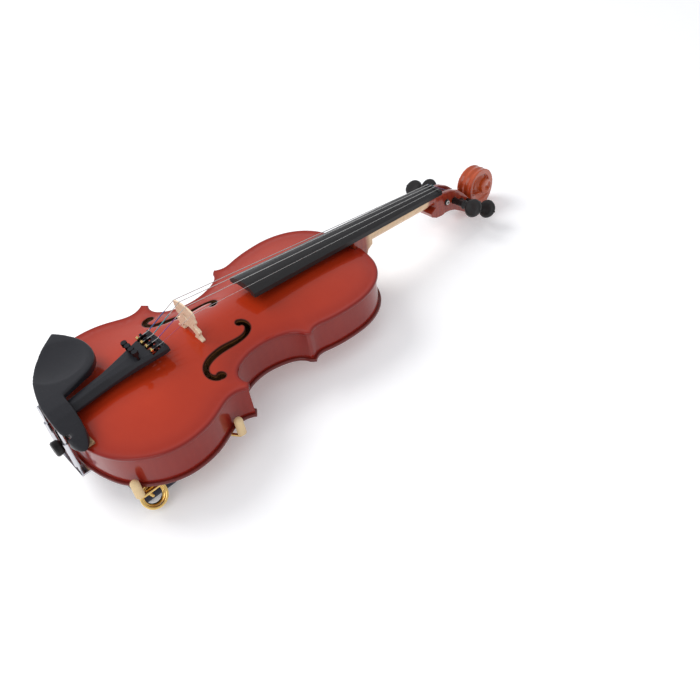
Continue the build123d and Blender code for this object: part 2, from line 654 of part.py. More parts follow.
lever_half = tuner_slot_width / 2 - 0.5
for name, y in tuner_ys.items():
    stem_u, stem_y = stem_rows[name]
    boss = rod((tuner_pivot_u, y - lever_half, tuner_pivot_w), (tuner_pivot_u, y + lever_half, tuner_pivot_w), 1.9)
    arm_end = stem_u - 2.0
    arm = Face(Wire.make_polygon([(tuner_pivot_u, y - lever_half, 1.0), (tuner_pivot_u, y + lever_half, 1.0),
                                  (arm_end, stem_y + 1.4, 1.0), (arm_end, stem_y - 1.4, 1.0)]))
    post_up = block(tuner_pivot_u - 1.4, tuner_pivot_u + 1.2, y - lever_half, y + lever_half, tuner_pivot_w, hook_w + 1.4)
    lever = boss + extrude(arm, amount=1.8, dir=UP) + post_up
    lever -= rod((tuner_pivot_u, y - 5, tuner_pivot_w), (tuner_pivot_u, y + 5, tuner_pivot_w), pin_radius + running_gap)
    lever -= block(tuner_pivot_u - 3, tuner_pivot_u + 3, y - 0.75, y + 0.75, hook_w - 0.9, hook_w + 5)
    parts[f"tuner_lever_{name}"] = tail_frame * lever
    tip_w = 2.8 + 0.3
    knob_low = tailpiece_height + tuner_travel + 0.8
    stem = rod((stem_u, stem_y, tip_w), (stem_u, stem_y, knob_low + 3.6), tuner_stem_radius)
    parts[f"tuner_stem_{name}"] = tail_frame * stem
    knob = rod((stem_u, stem_y, knob_low), (stem_u, stem_y, knob_low + 4.6), tuner_knob_radius)
    knob += rod((stem_u, stem_y, knob_low - 0.7), (stem_u, stem_y, knob_low), 2.2)
    knob -= rod((stem_u, stem_y, knob_low - 2), (stem_u, stem_y, knob_low + 3.65), tuner_stem_radius + running_gap)
    for step_index in range(16):
        angle = math.radians(360 / 16 * step_index)
        groove = Pos(stem_u + tuner_knob_radius * math.cos(angle), stem_y + tuner_knob_radius * math.sin(angle),
                     knob_low + 2.3) * Cylinder(0.3, 6)
        knob -= groove
    parts[f"tuner_knob_{name}"] = tail_frame * knob

# ---- Neck, pegbox and scroll ----
def neck_section(x, half, depth):
    base = glue_line(x)
    curve = Edge.make_spline([(x, half, base), (x, 0.94 * half, base - 0.36 * depth), (x, 0.66 * half, base - 0.78 * depth),
                              (x, 0, base - depth), (x, -0.66 * half, base - 0.78 * depth),
                              (x, -0.94 * half, base - 0.36 * depth), (x, -half, base)])
    return Face(Wire([curve, Edge.make_line(curve @ 0, curve @ 1)]))


heel_x = body_length + 17
handle = loft([neck_section(heel_x, neck_half_heel, neck_depth_heel),
               neck_section(nut_x - 6, neck_half_nut + 0.3, neck_depth_nut)], ruled=True)
heel_top = glue_line(body_length - heel_depth)
heel_side = [(body_length - heel_depth, 0), (body_length + button_radius - 0.5, 0), (body_length + 12.0, 12),
             (body_length + 14.0, 22), (heel_x + 3.0, glue_line(heel_x) - neck_depth_heel + 0.6),
             (heel_x + 3.0, glue_line(heel_x + 3.0)), (body_length - heel_depth, heel_top)]
heel_profile = side_plate(heel_side, -neck_half_heel, neck_half_heel)
heel_levels = ((-0.01, 18), (heel_top - neck_depth_heel - 1, 2 * neck_half_heel - 2.5),
               (heel_top + 2, 2 * neck_half_heel))
heel_sections = [Plane(origin=(body_length + 5, 0, z)) * Rectangle(60, width) for z, width in heel_levels]
heel_plan = loft(heel_sections, ruled=True)
heel = heel_profile & heel_plan

head_z = glue_line(nut_x)
volute_x = nut_x + 77.0
volute_z = head_z - 26.5
head_back = [(nut_x - 7, head_z - 12.5), (nut_x - 15.5, head_z - 17.0), (nut_x - 13.5, head_z - 22.5),
             (nut_x - 7.0, head_z - 26.2), (nut_x + 1.0, head_z - 27.6), (nut_x + 9.0, head_z - 27.4),
             (nut_x + 17.0, head_z - 28.6), (nut_x + 26.0, head_z - 32.4), (nut_x + 36.0, head_z - 39.4),
             (nut_x + 46.0, head_z - 46.6), (nut_x + 56.0, head_z - 52.0), (nut_x + 66.0, head_z - 55.2)]
volute_edge = []
for index in range(19):
    turn = math.radians(-80 + 15 * index)
    radius = volute_radius + 6.4 * max(0.0, 1 - index / 9) ** 1.6
    volute_edge.append((volute_x + radius * math.cos(turn), volute_z + radius * math.sin(turn)))
head_front = [(nut_x + 55.0, head_z - 33.5), (nut_x + 50.5, head_z - 27.5), (nut_x + 42.5, head_z - 18.0),
              (nut_x + 33.5, head_z - 9.4), (nut_x + 23.0, head_z - 3.6), (nut_x + 12.0, head_z - 0.6),
              (nut_end, head_z + 1.4), (nut_end, glue_line(nut_end)), (nut_x - 7, glue_line(nut_x - 7))]
head = side_plate(head_back + volute_edge + head_front, -14, 14)
head_plan = Face(Wire.make_polygon([(nut_x - 20, -neck_half_nut - 0.4, -60), (nut_x + 4, -head_half_width, -60),
                                    (volute_x - 18, -throat_half_width, -60), (volute_x + 40, -6.4, -60),
                                    (volute_x + 40, 6.4, -60), (volute_x - 18, throat_half_width, -60),
                                    (nut_x + 4, head_half_width, -60), (nut_x - 20, neck_half_nut + 0.4, -60)]))
head = head & extrude(head_plan, amount=150, dir=UP)
cavity_side = side_plate([(nut_end, head_z + 12), (nut_end, head_z - 19.5), (nut_x + 20, head_z - 22.5),
                          (nut_x + 38, head_z - 32.5), (nut_x + 51.5, head_z - 42.0), (nut_x + 54.0, head_z - 36.0),
                          (nut_x + 62.0, head_z + 12)], -14, 14)
cavity_plan = Face(Wire.make_polygon([
    (nut_end, cheek - head_half_width, -60), (volute_x - 18, cheek - throat_half_width, -60),
    (volute_x - 18, throat_half_width - cheek, -60), (nut_end, head_half_width - cheek, -60)]))
head -= cavity_side & extrude(cavity_plan, amount=150, dir=UP)
for turn_radius, half_width, shift in ((15.5, 12.5, 0.0), (10.0, 17.0, 1.0), (4.6, eye_half_width, 0.5)):
    head += Pos(volute_x + shift, 0, volute_z) * Rot(90, 0, 0) * Cylinder(turn_radius, 2 * half_width)
neck = heel + handle + head

# ---- Pegs ----
for name, (peg_x, peg_z, side) in peg_places.items():
    shaft_length = peg_collar_y + peg_tip_y
    shaft = Cone(peg_radius_collar, peg_radius_tip, shaft_length, align=(Align.CENTER, Align.CENTER, Align.MIN))
    bore = Cone(peg_radius_collar + peg_clearance, peg_radius_tip + peg_clearance, shaft_length + 0.01,
                align=(Align.CENTER, Align.CENTER, Align.MIN))
    seat_plane = Plane(origin=(peg_x, side * peg_collar_y, peg_z), x_dir=(1, 0, 0), z_dir=(0, -side, 0))
    neck -= seat_plane * bore
    collar = Pos(0, 0, -1.0) * Cylinder(peg_radius_collar + 1.5, 2.0) + Pos(0, 0, -3.4) * Cylinder(3.4, 3.2)
    head_place = Pos(0, 0, -peg_head_radius - 3.2)
    head_disc = head_place * Rot(90, 0, 0) * Cylinder(peg_head_radius, peg_head_thickness)
    dome = head_place * Sphere(peg_head_radius)
    thumb = (dome & head_disc) + Pos(0, 0, -2 * peg_head_radius - 3.6) * Sphere(1.3)
    parts[f"peg_{name}"] = seat_plane * (shaft + collar + thumb)
parts["neck_scroll"] = neck

# ---- Chin rest ----
chin_runs = (
    ((49.5, 93.8), (37, 84), (21, 69.5), (8, 50), (-0.5, 26), (-5.2, 3), (-6.2, -20), (-5, -36), (-1.5, -46)),
    ((-1.5, -46), (3, -49), (8, -46)),
    ((8, -46), (12.5, -38), (15.5, -24), (16.5, -8), (17.5, 5)),
    ((17.5, 5), (29.5, 8.5), (42, 13), (55, 20), (62.5, 30), (66.5, 47), (64, 66), (57.5, 81), (49.5, 93.8)),
)
foot_z = top_z + 0.5 + cork_thickness
chin_edges = [Edge.make_spline([(x, y, 0) for x, y in run]) for run in chin_runs]
chin_side = [(96, chin_rim + 0.5), (60, chin_rim), (10, chin_rim), (-6, chin_rim - 0.5), (-18, chin_rim - 3),
             (-30, chin_rim - 8), (-40, chin_rim - 14), (-47, chin_rim - 20.5), (-50, foot_z), (-18, foot_z),
             (-13, chin_rim - 7.5), (13, chin_rim - 7), (16, chin_rim - 8.6), (60, chin_rim - 8.6),
             (80, chin_rim - 7), (96, chin_rim - 4)]
chin_profile = extrude(Face(Wire.make_polygon([(-20, y, z) for y, z in chin_side])), amount=100, dir=(1, 0, 0))
chin = plan_plate(chin_edges, top_z - 15, top_z + 45) & chin_profile
feet_inside = saddle_half + 1.0
chin_foot = block(0.5, 14.5, feet_inside, feet_inside + 15, foot_z, chin_rim - 8)
chin += chin_foot & plan_plate(chin_edges, top_z - 15, top_z + 45)
chin -= block(-10, 0.2, -36, 36, top_z - 15, chin_rim - 10.5)
dish_radius = 110.0
chin -= Pos(33, 50, chin_rim - 4 + dish_radius) * Sphere(dish_radius)
corks = []
for y0, y1 in ((feet_inside, feet_inside + 14), (-44, -feet_inside)):
    corks.append(block(1.5, 13.5, y0, y1, top_z - 1, foot_z) - under_top)
parts["chinrest_pads"] = corks

clamp_low = -edge_thickness - 2.2
barrel_low, barrel_high = 2.0, rib_height + 1.0
post_low, stub_high = barrel_high - 10.0, 10.0
posts = []
for side, side_name in ((1, "bass"), (-1, "treble")):
    y = side * clamp_y
    post_top = chin_rim - 9.6
    post = rod((clamp_x, y, post_low), (clamp_x, y, post_top), clamp_post_radius)
    post += Pos(clamp_x, y, post_top) * Sphere(clamp_post_radius)
    post += rod((clamp_x, y, post_top), (7, y, post_top), clamp_post_radius)
    posts.append(post)
    chin -= post
    barrel = Pos(clamp_x, y, (barrel_low + barrel_high) / 2) * (
        Cylinder(barrel_radius, barrel_high - barrel_low)
        - Cylinder(clamp_post_radius + running_gap, barrel_high - barrel_low))
    key_z = (post_low + stub_high) / 2
    barrel -= rod((clamp_x - 5, y, key_z), (clamp_x + 5, y, key_z), 0.8)
    parts[f"chinrest_barrel_{side_name}"] = barrel
parts["chinrest_plate"] = max(chin.solids(), key=lambda piece: piece.volume)
parts["chinrest_posts"] = posts
foot = block(clamp_x - 2.6, 9, -25, 25, clamp_low - 2, clamp_low)
for side in (1, -1):
    foot += rod((clamp_x, side * clamp_y, clamp_low - 1), (clamp_x, side * clamp_y, stub_high), clamp_post_radius)
parts["chinrest_foot"] = foot
parts["chinrest_foot_cork"] = block(1.2, 8.8, -24, 24, clamp_low, 0) - over_back


# ---- Shoulder rest ----
def arc_strip(half_span, mid, end, thickness, x0, x1):
    """A strip across the body whose top is an arc."""
    top = Edge.make_three_point_arc((x0, -half_span, end), (x0, 0, mid), (x0, half_span, end))
    low = Edge.make_three_point_arc((x0, -half_span, end - thickness), (x0, 0, mid - thickness),
                                    (x0, half_span, end - thickness))
    ends = [Edge.make_line(top @ 0, low @ 0), Edge.make_line(top @ 1, low @ 1)]
    return extrude(Face(Wire([top, low] + ends)), amount=x1 - x0, dir=(1, 0, 0))


strap_half, strap_thick, strap_z = 5.0, 2.0, -15.5
strap_inner, strap_outer = 56.0, hoop_y - 2.8
rest_low_x, rest_high_x = rest_x - rest_width / 2, rest_x + rest_width / 2
bar = arc_strip(rest_half_span - 6, rest_bar_mid, rest_bar_end, rest_bar_thickness, rest_low_x, rest_high_x)
pad_top = [(y * rest_pad_half_span / 6, rest_bar_mid - rest_bar_thickness
            + (rest_bar_end - rest_bar_mid) * (y * rest_pad_half_span / 6 / (rest_half_span - 6)) ** 2) for y in range(-6, 7)]
pad_low = [(rest_pad_half_span, rest_floor + 3), (rest_pad_half_span - 3, rest_floor),
           (3 - rest_pad_half_span, rest_floor), (-rest_pad_half_span, rest_floor + 3)]
pad_face = Face(Wire.make_polygon([(rest_low_x - 1, y, z) for y, z in pad_top + pad_low]))
pad = extrude(pad_face, amount=rest_width + 2, dir=(1, 0, 0)) - bar
for side, side_name in ((1, "bass"), (-1, "treble")):
    housing = block(hoop_x - strap_half - 2.5, hoop_x + strap_half + 2.5,
                    side * (strap_inner - 2), side * (rest_half_span - 4),
                    strap_z - strap_thick - 1.0, strap_z + strap_thick + 1.0)
    channel = block(hoop_x - strap_half - 0.3, hoop_x + strap_half + 0.3,
                    side * (strap_inner - 0.5), side * (rest_half_span + 10),
                    strap_z - strap_thick / 2 - 0.3, strap_z + strap_thick / 2 + 0.3)
    pad -= housing
    bar = bar + housing - channel
    strap = block(hoop_x - strap_half, hoop_x + strap_half, side * strap_inner, side * (strap_outer + 1),
                  strap_z - strap_thick / 2, strap_z + strap_thick / 2)
    ring = Torus(hoop_radius, hoop_wire)
    lean = 90 - hoop_tilt
    ring = Pos(hoop_x, side * hoop_y, hoop_z) * Rot(side * -lean, 0, 0) * ring
    cross_height = (strap_z - hoop_z) / math.cos(math.radians(hoop_tilt))
    cross_half = math.sqrt(hoop_radius**2 - cross_height**2)
    cross_y = hoop_y - (strap_z - hoop_z) * math.tan(math.radians(hoop_tilt))
    cross = rod((hoop_x - cross_half, side * cross_y, strap_z),
                (hoop_x + cross_half, side * cross_y, strap_z), 1.3)
    tongue = rod((hoop_x - 3, side * cross_y, strap_z), (hoop_x - 1, side * hoop_y, hoop_z), 1.4)
    tongue += Pos(hoop_x - 1, side * hoop_y, hoop_z) * Sphere(1.4)
    parts[f"rest_hoop_{side_name}"] = ring + cross + tongue + strap
    prongs = []
    for prong_x in (prong_near_x, prong_far_x):
        away = -sleeve_radius - grip_gap
        places = [curve_point(cubic, i / 200, away) for cubic in lower_run for i in range(201)]
        prongs.append(min(places, key=lambda place: abs(place[0] - prong_x)))
    (near_x, near_y), (far_x, far_y) = prongs
    route = [(near_x, near_y, prong_top), (near_x, near_y, fork_z), (far_x - 9, fork_y, fork_z), (far_x, far_y, fork_z),
             (far_x, far_y, prong_top)]
    route = [(x, side * y, z) for x, y, z in route]
    path = FilletPolyline(*route, radius=4.0)
    fork = sweep(Plane(origin=route[0], z_dir=(0, 0, -1)) * Circle(wire_radius), path=path)
    parts[f"rest_fork_{side_name}"] = fork
    sleeves = []
    for x, y in prongs:
        tube = rod((x, side * y, fork_z + 4.2), (x, side * y, prong_top), sleeve_radius)
        tube += Pos(x, side * y, prong_top) * Sphere(sleeve_radius)
        sleeves.append(tube - rod((x, side * y, fork_z), (x, side * y, prong_top), wire_radius))
    parts[f"rest_sleeves_{side_name}"] = sleeves
parts["rest_bar"] = bar
parts["rest_pad"] = pad

# ---- Lay the violin down: scroll and shoulder rest both touch the ground ----
def lowest(shape, angle):
    return (Rot(0, angle, 0) * shape).bounding_box().min.Z


low_angle, high_angle = 0.0, 8.0
for _ in range(22):
    tilt = (low_angle + high_angle) / 2
    if lowest(parts["neck_scroll"], tilt) > lowest(parts["rest_pad"], tilt):
        low_angle = tilt
    else:
        high_angle = tilt


def as_shape(piece):
    return Compound(children=list(piece)) if isinstance(piece, list) else Compound(children=list(piece.solids()))


laid = {name: Rot(0, tilt, 0) * as_shape(piece) for name, piece in parts.items()}
boxes = [shape.bounding_box() for shape in laid.values()]
middle_x = (min(box.min.X for box in boxes) + max(box.max.X for box in boxes)) / 2
middle_y = (min(box.min.Y for box in boxes) + max(box.max.Y for box in boxes)) / 2
ground = min(box.min.Z for box in boxes)
placement = Pos(-middle_x, -middle_y, -ground) * Rot(0, tilt, 0)

os.makedirs("parts", exist_ok=True)
for name, piece in parts.items():
    export_step(placement * as_shape(piece), f"parts/{name}.step")
print("tilt", round(tilt, 3), "shift", round(-middle_x, 3), round(-middle_y, 3), round(-ground, 3))
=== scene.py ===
import json
import math

import bmesh
import bpy
import numpy as np
from mathutils import Euler, Matrix, Vector
from mathutils.geometry import delaunay_2d_cdt
from mathutils.kdtree import KDTree


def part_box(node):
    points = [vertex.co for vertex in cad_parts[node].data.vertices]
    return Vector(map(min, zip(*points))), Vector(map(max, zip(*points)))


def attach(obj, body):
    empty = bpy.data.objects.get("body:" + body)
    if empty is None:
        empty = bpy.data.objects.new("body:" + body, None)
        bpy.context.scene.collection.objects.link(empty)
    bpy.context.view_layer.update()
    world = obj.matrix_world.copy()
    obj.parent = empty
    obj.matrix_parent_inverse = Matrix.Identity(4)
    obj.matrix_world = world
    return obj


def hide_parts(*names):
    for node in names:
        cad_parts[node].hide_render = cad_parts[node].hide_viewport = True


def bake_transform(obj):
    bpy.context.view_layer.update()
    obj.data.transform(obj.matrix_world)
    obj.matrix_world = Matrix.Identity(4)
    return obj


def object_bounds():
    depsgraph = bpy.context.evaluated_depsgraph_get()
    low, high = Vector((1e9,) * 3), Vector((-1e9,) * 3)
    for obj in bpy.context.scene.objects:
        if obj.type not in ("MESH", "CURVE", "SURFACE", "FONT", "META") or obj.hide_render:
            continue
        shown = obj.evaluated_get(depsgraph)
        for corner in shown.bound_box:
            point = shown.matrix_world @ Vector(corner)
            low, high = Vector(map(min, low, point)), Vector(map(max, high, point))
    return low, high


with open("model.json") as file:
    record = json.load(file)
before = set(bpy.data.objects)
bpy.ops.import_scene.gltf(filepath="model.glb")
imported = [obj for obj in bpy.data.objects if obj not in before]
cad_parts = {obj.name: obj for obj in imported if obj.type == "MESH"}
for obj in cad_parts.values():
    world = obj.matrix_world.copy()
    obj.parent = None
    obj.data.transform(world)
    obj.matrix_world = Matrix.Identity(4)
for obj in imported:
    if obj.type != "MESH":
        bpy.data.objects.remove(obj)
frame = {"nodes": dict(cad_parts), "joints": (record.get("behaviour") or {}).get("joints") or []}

mm = 0.001
cadLow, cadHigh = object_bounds()
scene = bpy.context.scene
scene.view_settings.view_transform = "Standard"


def jointNamed(name):
    return next(j for j in frame["joints"] if j["name"] == name)


# The violin's own level frame: x to the scroll, y to the bass side, z = 0 on the back's glue line
upWay = Vector(jointNamed("clamp_bass_turn")["axis"])
sideWay = Vector(jointNamed("rest_bass_slide")["axis"])
level = Matrix((sideWay.cross(upWay), sideWay, upWay)).transposed().to_4x4()
lay = level


def levelPoints(node):
    flat = np.zeros(len(frame["nodes"][node].data.vertices) * 3)
    frame["nodes"][node].data.vertices.foreach_get("co", flat)
    back = np.array(lay.inverted())
    return flat.reshape(-1, 3) @ back[:3, :3].T + back[:3, 3]


tailX = levelPoints("top_plate")[:, 0].min()
glueZ = levelPoints("rib_lower_bass")[:, 2].min()
lay = level @ Matrix.Translation((tailX, 0, glueZ))
ribTop = levelPoints("rib_lower_bass")[:, 2].max()
print("level frame ready, ribs", round(ribTop / mm, 2), "mm high")


# Small mesh tools
def makePiece(name, verts, faces, material, body="violin", stands=()):
    mesh = bpy.data.meshes.new(name)
    mesh.from_pydata([tuple(v) for v in verts], [], [tuple(f) for f in faces])
    mesh.transform(lay)
    mesh.update()
    piece = bpy.data.objects.new(name, mesh)
    scene.collection.objects.link(piece)
    return finishPiece(piece, material, body, stands)


def finishPiece(piece, material, body="violin", stands=()):
    piece.data.materials.clear()
    piece.data.materials.append(material)
    if piece.type == "MESH":
        piece.data.polygons.foreach_set("use_smooth", [True] * len(piece.data.polygons))
    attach(piece, body)
    if stands:
        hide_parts(*stands)
    return piece


def latheFaces(rows, around):
    faces = []
    for i in range(rows - 1):
        for j in range(around):
            k = (j + 1) % around
            faces.append((i * around + j, i * around + k, (i + 1) * around + k, (i + 1) * around + j))
    faces.append(tuple(reversed(range(around))))
    faces.append(tuple((rows - 1) * around + j for j in range(around)))
    return faces


def lathe(profile, origin, axis, around=48):
    # profile is (distance along the axis, radius)
    axis = Vector(axis).normalized()
    side = axis.orthogonal().normalized()
    third = axis.cross(side)
    verts = []
    for along, radius in profile:
        for j in range(around):
            a = 2 * math.pi * j / around
            verts.append(Vector(origin) + axis * along + (side * math.cos(a) + third * math.sin(a)) * radius)
    return verts, latheFaces(len(profile), around)


def flowing(points, spacing, closed=True, cornerAngle=28):
    # a Catmull-Rom curve through the points that keeps their sharp corners
    pts = [np.array(p, float) for p in points]
    n = len(pts)

    def turnAt(i):
        a, b = pts[i] - pts[i - 1], pts[(i + 1) % n] - pts[i]
        cosine = a @ b / max(1e-12, np.linalg.norm(a) * np.linalg.norm(b))
        return math.degrees(math.acos(max(-1.0, min(1.0, cosine))))

    out = []
    for i in range(n if closed else n - 1):
        p1, p2 = pts[i], pts[(i + 1) % n]
        p0 = pts[i - 1] if (closed or i > 0) else 2 * p1 - p2
        p3 = pts[(i + 2) % n] if (closed or i + 2 < n) else 2 * p2 - p1
        if closed and turnAt(i) > cornerAngle:
            p0 = 2 * p1 - p2
        if closed and turnAt((i + 1) % n) > cornerAngle:
            p3 = 2 * p2 - p1
        d0, d1, d2 = (max(1e-9, np.linalg.norm(b - a)) ** 0.5 for a, b in ((p0, p1), (p1, p2), (p2, p3)))
        m1 = (p2 - p1) - d1 * ((p2 - p0) / (d0 + d1) - (p1 - p0) / d0)
        m2 = (p2 - p1) - d1 * ((p3 - p1) / (d1 + d2) - (p3 - p2) / d2)
        steps = max(1, int(round(np.linalg.norm(p2 - p1) / spacing)))
        for s in range(steps):
            t = s / steps
            out.append((2 * t**3 - 3 * t * t + 1) * p1 + (t**3 - 2 * t * t + t) * m1
                       + (3 * t * t - 2 * t**3) * p2 + (t**3 - t * t) * m2)
    if not closed:
        out.append(pts[-1])
    return np.array(out)


def isInside(points, loop):
    x, y = points[:, 0][:, None], points[:, 1][:, None]
    x0, y0 = loop[:, 0][None], loop[:, 1][None]
    x1, y1 = np.roll(x0, -1), np.roll(y0, -1)
    crosses = ((y0 > y) != (y1 > y)) & (x < (x1 - x0) * (y - y0) / np.where(y1 == y0, 1e-12, y1 - y0) + x0)
    return crosses.sum(1) % 2 == 1


def loopTree(loop):
    tree = KDTree(len(loop))
    for i, p in enumerate(loop):
        tree.insert((p[0], p[1], 0), i)
    tree.balance()
    return tree


def distances(points, tree):
    return np.array([tree.find((p[0], p[1], 0))[2] for p in points])


def inwardRings(loop, offsets, tree, sign):
    step = np.roll(loop, -1, 0) - np.roll(loop, 1, 0)
    length = np.maximum(1e-12, np.linalg.norm(step, axis=1))
    normal = np.stack([-step[:, 1], step[:, 0]], 1) / length[:, None]
    area = (loop[:, 0] * np.roll(loop[:, 1], -1) - np.roll(loop[:, 0], -1) * loop[:, 1]).sum()
    normal *= sign * math.copysign(1, area)
    rings = []
    for offset in offsets:
        ring = (loop + normal * offset)[:: max(1, int(offset / (0.7 * mm)) // 2)]
        keep = distances(ring, tree) > 0.93 * offset
        rings.append(ring[keep])
    return np.concatenate(rings)


def slab(outer, holes, spacing, outerRings, holeRings, upper, lower):
    # a sheet with two shaped faces; upper and lower give heights from (points, edge distance, hole distance)
    outerTree, holeTree = loopTree(outer), loopTree(np.concatenate(holes)) if holes else None
    low, high = outer.min(0), outer.max(0)
    rows = np.arange(low[1], high[1], spacing * 0.866)
    grid = np.array([(x + (spacing / 2 if i % 2 else 0), y) for i, y in enumerate(rows)
                     for x in np.arange(low[0], high[0], spacing)])
    grid = grid[isInside(grid, outer)]
    grid = grid[distances(grid, outerTree) > max(outerRings) + 0.55 * spacing]
    extra = [grid, inwardRings(outer, outerRings, outerTree, 1)]
    for hole in holes:
        ring = inwardRings(hole, holeRings, holeTree, -1)
        extra = [part[distances(part, holeTree) > max(holeRings) + 0.25 * spacing] for part in extra]
        extra.append(ring[isInside(ring, outer) & ~isInside(ring, hole)])
    loops = [outer] + list(holes)
    edges, start = [], 0
    for loop in loops:
        edges += [(start + i, start + (i + 1) % len(loop)) for i in range(len(loop))]
        start += len(loop)
    everything = np.concatenate(loops + extra)
    made = delaunay_2d_cdt([Vector(p) for p in everything], edges, [], 1, 1e-7)
    flat = np.array([tuple(p) for p in made[0]])
    triangles = np.array([tuple(f) for f in made[2]])
    centres = flat[triangles].mean(1)
    keep = isInside(centres, outer)
    for hole in holes:
        keep &= ~isInside(centres, hole)
    triangles = triangles[keep]
    edgeGap = distances(flat, outerTree)
    holeGap = distances(flat, holeTree) if holes else np.full(len(flat), 1.0)
    count = len(flat)
    top = np.column_stack([flat, upper(flat, edgeGap, holeGap)])
    bottom = np.column_stack([flat, lower(flat, edgeGap, holeGap)])
    used = {}
    for a, b, c in triangles:
        for edge in ((a, b), (b, c), (c, a)):
            used[edge] = True
    walls = [(a, a + count, b + count, b) for a, b in used if (b, a) not in used]
    faces = [tuple(t) for t in triangles] + [tuple(t[::-1] + count) for t in triangles] + walls
    verts = np.concatenate([top, bottom])
    return verts, faces, np.concatenate([edgeGap, edgeGap]), np.concatenate([holeGap, holeGap])


def cleanMesh(mesh):
    bm = bmesh.new()
    bm.from_mesh(mesh)
    bmesh.ops.delete(bm, geom=[v for v in bm.verts if not v.link_faces], context="VERTS")
    bmesh.ops.recalc_face_normals(bm, faces=bm.faces)
    bm.to_mesh(mesh)
    bm.free()


def storeOnPoints(mesh, name, values):
    mesh.attributes.new(name, "FLOAT", "POINT").data.foreach_set("value", np.asarray(values, np.float32))


def rounded(gap, radius):
    inside = np.clip(radius - gap, 0, radius)
    return radius - np.sqrt(radius * radius - inside * inside)


def carved(name, source, voxel, relax, extra=None, reshape=None):
    # a copy of a node's own shape with its edges softened as by hand
    mesh = frame["nodes"][source].data.copy()
    piece = bpy.data.objects.new(name, mesh)
    scene.collection.objects.link(piece)
    bm = bmesh.new()
    bm.from_mesh(mesh)
    bmesh.ops.remove_doubles(bm, verts=bm.verts, dist=1e-6)
    bm.transform(lay.inverted())
    if reshape:
        reshape(bm)
    if extra:
        for verts, faces in extra:
            made = [bm.verts.new(tuple(v)) for v in verts]
            for f in faces:
                bm.faces.new([made[i] for i in f])
    bm.transform(lay)
    for f in bm.faces:
        f.smooth = True
    bm.to_mesh(mesh)
    bm.free()
    remesh = piece.modifiers.new("remesh", "REMESH")
    remesh.mode = "VOXEL"
    remesh.voxel_size = voxel
    remesh.use_smooth_shade = True
    soften = piece.modifiers.new("soften", "SMOOTH")
    soften.factor = 0.5
    soften.iterations = relax
    bpy.context.view_layer.update()
    final = bpy.data.meshes.new_from_object(piece.evaluated_get(bpy.context.evaluated_depsgraph_get()))
    piece.modifiers.clear()
    piece.data = final
    final.name = name
    print(name, len(final.polygons), "faces")
    return piece


# Shader groups
class Graph:
    def __init__(self, tree):
        self.tree = tree

    def add(self, kind, values=None, **settings):
        node = self.tree.nodes.new(kind)
        for key, value in settings.items():
            setattr(node, key, value)
        for key, value in (values or {}).items():
            if isinstance(value, bpy.types.NodeSocket):
                self.tree.links.new(value, node.inputs[key])
            else:
                node.inputs[key].default_value = value
        return node

    def link(self, a, b):
        self.tree.links.new(a, b)

    def math(self, operation, a, b=0.5, clamp=False):
        return self.add("ShaderNodeMath", {0: a, 1: b}, operation=operation, use_clamp=clamp).outputs[0]

    def ramp(self, factor, stops):
        node = self.add("ShaderNodeValToRGB", {"Fac": factor})
        while len(node.color_ramp.elements) < len(stops):
            node.color_ramp.elements.new(0.5)
        for element, (place, colour) in zip(node.color_ramp.elements, stops):
            element.position = place
            element.color = (*colour, 1) if hasattr(colour, "__len__") else (colour, colour, colour, 1)
        return node.outputs["Color"]

    def mix(self, factor, a, b, blend="MIX"):
        node = self.add("ShaderNodeMix", data_type="RGBA", blend_type=blend)
        for key, value in ((0, factor), (6, a), (7, b)):
            if isinstance(value, bpy.types.NodeSocket):
                self.link(value, node.inputs[key])
            else:
                node.inputs[key].default_value = value if key == 0 else (*value, 1)
        return node.outputs[2]

    def noise(self, vector, scale, detail):
        return self.add("ShaderNodeTexNoise", {"Vector": vector, "Scale": scale, "Detail": detail})

    def stretched(self, vector, scale):
        return self.add("ShaderNodeMapping", {"Vector": vector, "Scale": scale}).outputs["Vector"]


def makeGroup(name, ins, outs):
    tree = bpy.data.node_groups.new(name, "ShaderNodeTree")
    for socketName, kind, value in ins:
        socket = tree.interface.new_socket(socketName, in_out="INPUT", socket_type=kind)
        if value is not None:
            socket.default_value = value
    for socketName, kind in outs:
        tree.interface.new_socket(socketName, in_out="OUTPUT", socket_type=kind)
    graph = Graph(tree)
    return tree, graph, tree.nodes.new("NodeGroupInput"), tree.nodes.new("NodeGroupOutput")


def makeGrainGroup():
    # straight growth lines along x, with fine pores between them
    tree, g, ins, outs = makeGroup("woodGrain", [("Vector", "NodeSocketVector", None),
                                                 ("Lines", "NodeSocketFloat", 700.0),
                                                 ("Wander", "NodeSocketFloat", 0.6)],
                                   [("Grain", "NodeSocketFloat"), ("Pores", "NodeSocketFloat")])
    slow = g.noise(g.stretched(ins.outputs["Vector"], (7, 40, 40)), 1.0, 2.0)
    parts = g.add("ShaderNodeSeparateXYZ", {"Vector": ins.outputs["Vector"]})
    across = g.math("MULTIPLY", parts.outputs["Y"], ins.outputs["Lines"])
    across = g.math("ADD", across, g.math("MULTIPLY", slow.outputs["Fac"],
                                          g.math("MULTIPLY", ins.outputs["Wander"], 18.0)))
    across = g.math("ADD", across, g.math("MULTIPLY", parts.outputs["Z"], 260.0))
    saw = g.math("FRACT", across, 0.0)
    line = g.math("POWER", saw, 3.2)
    fibres = g.noise(g.stretched(ins.outputs["Vector"], (30, 2600, 2600)), 1.0, 3.0)
    g.link(g.math("MULTIPLY", line, g.math("ADD", fibres.outputs["Fac"], 0.25)), outs.inputs["Grain"])
    g.link(fibres.outputs["Fac"], outs.inputs["Pores"])
    return tree


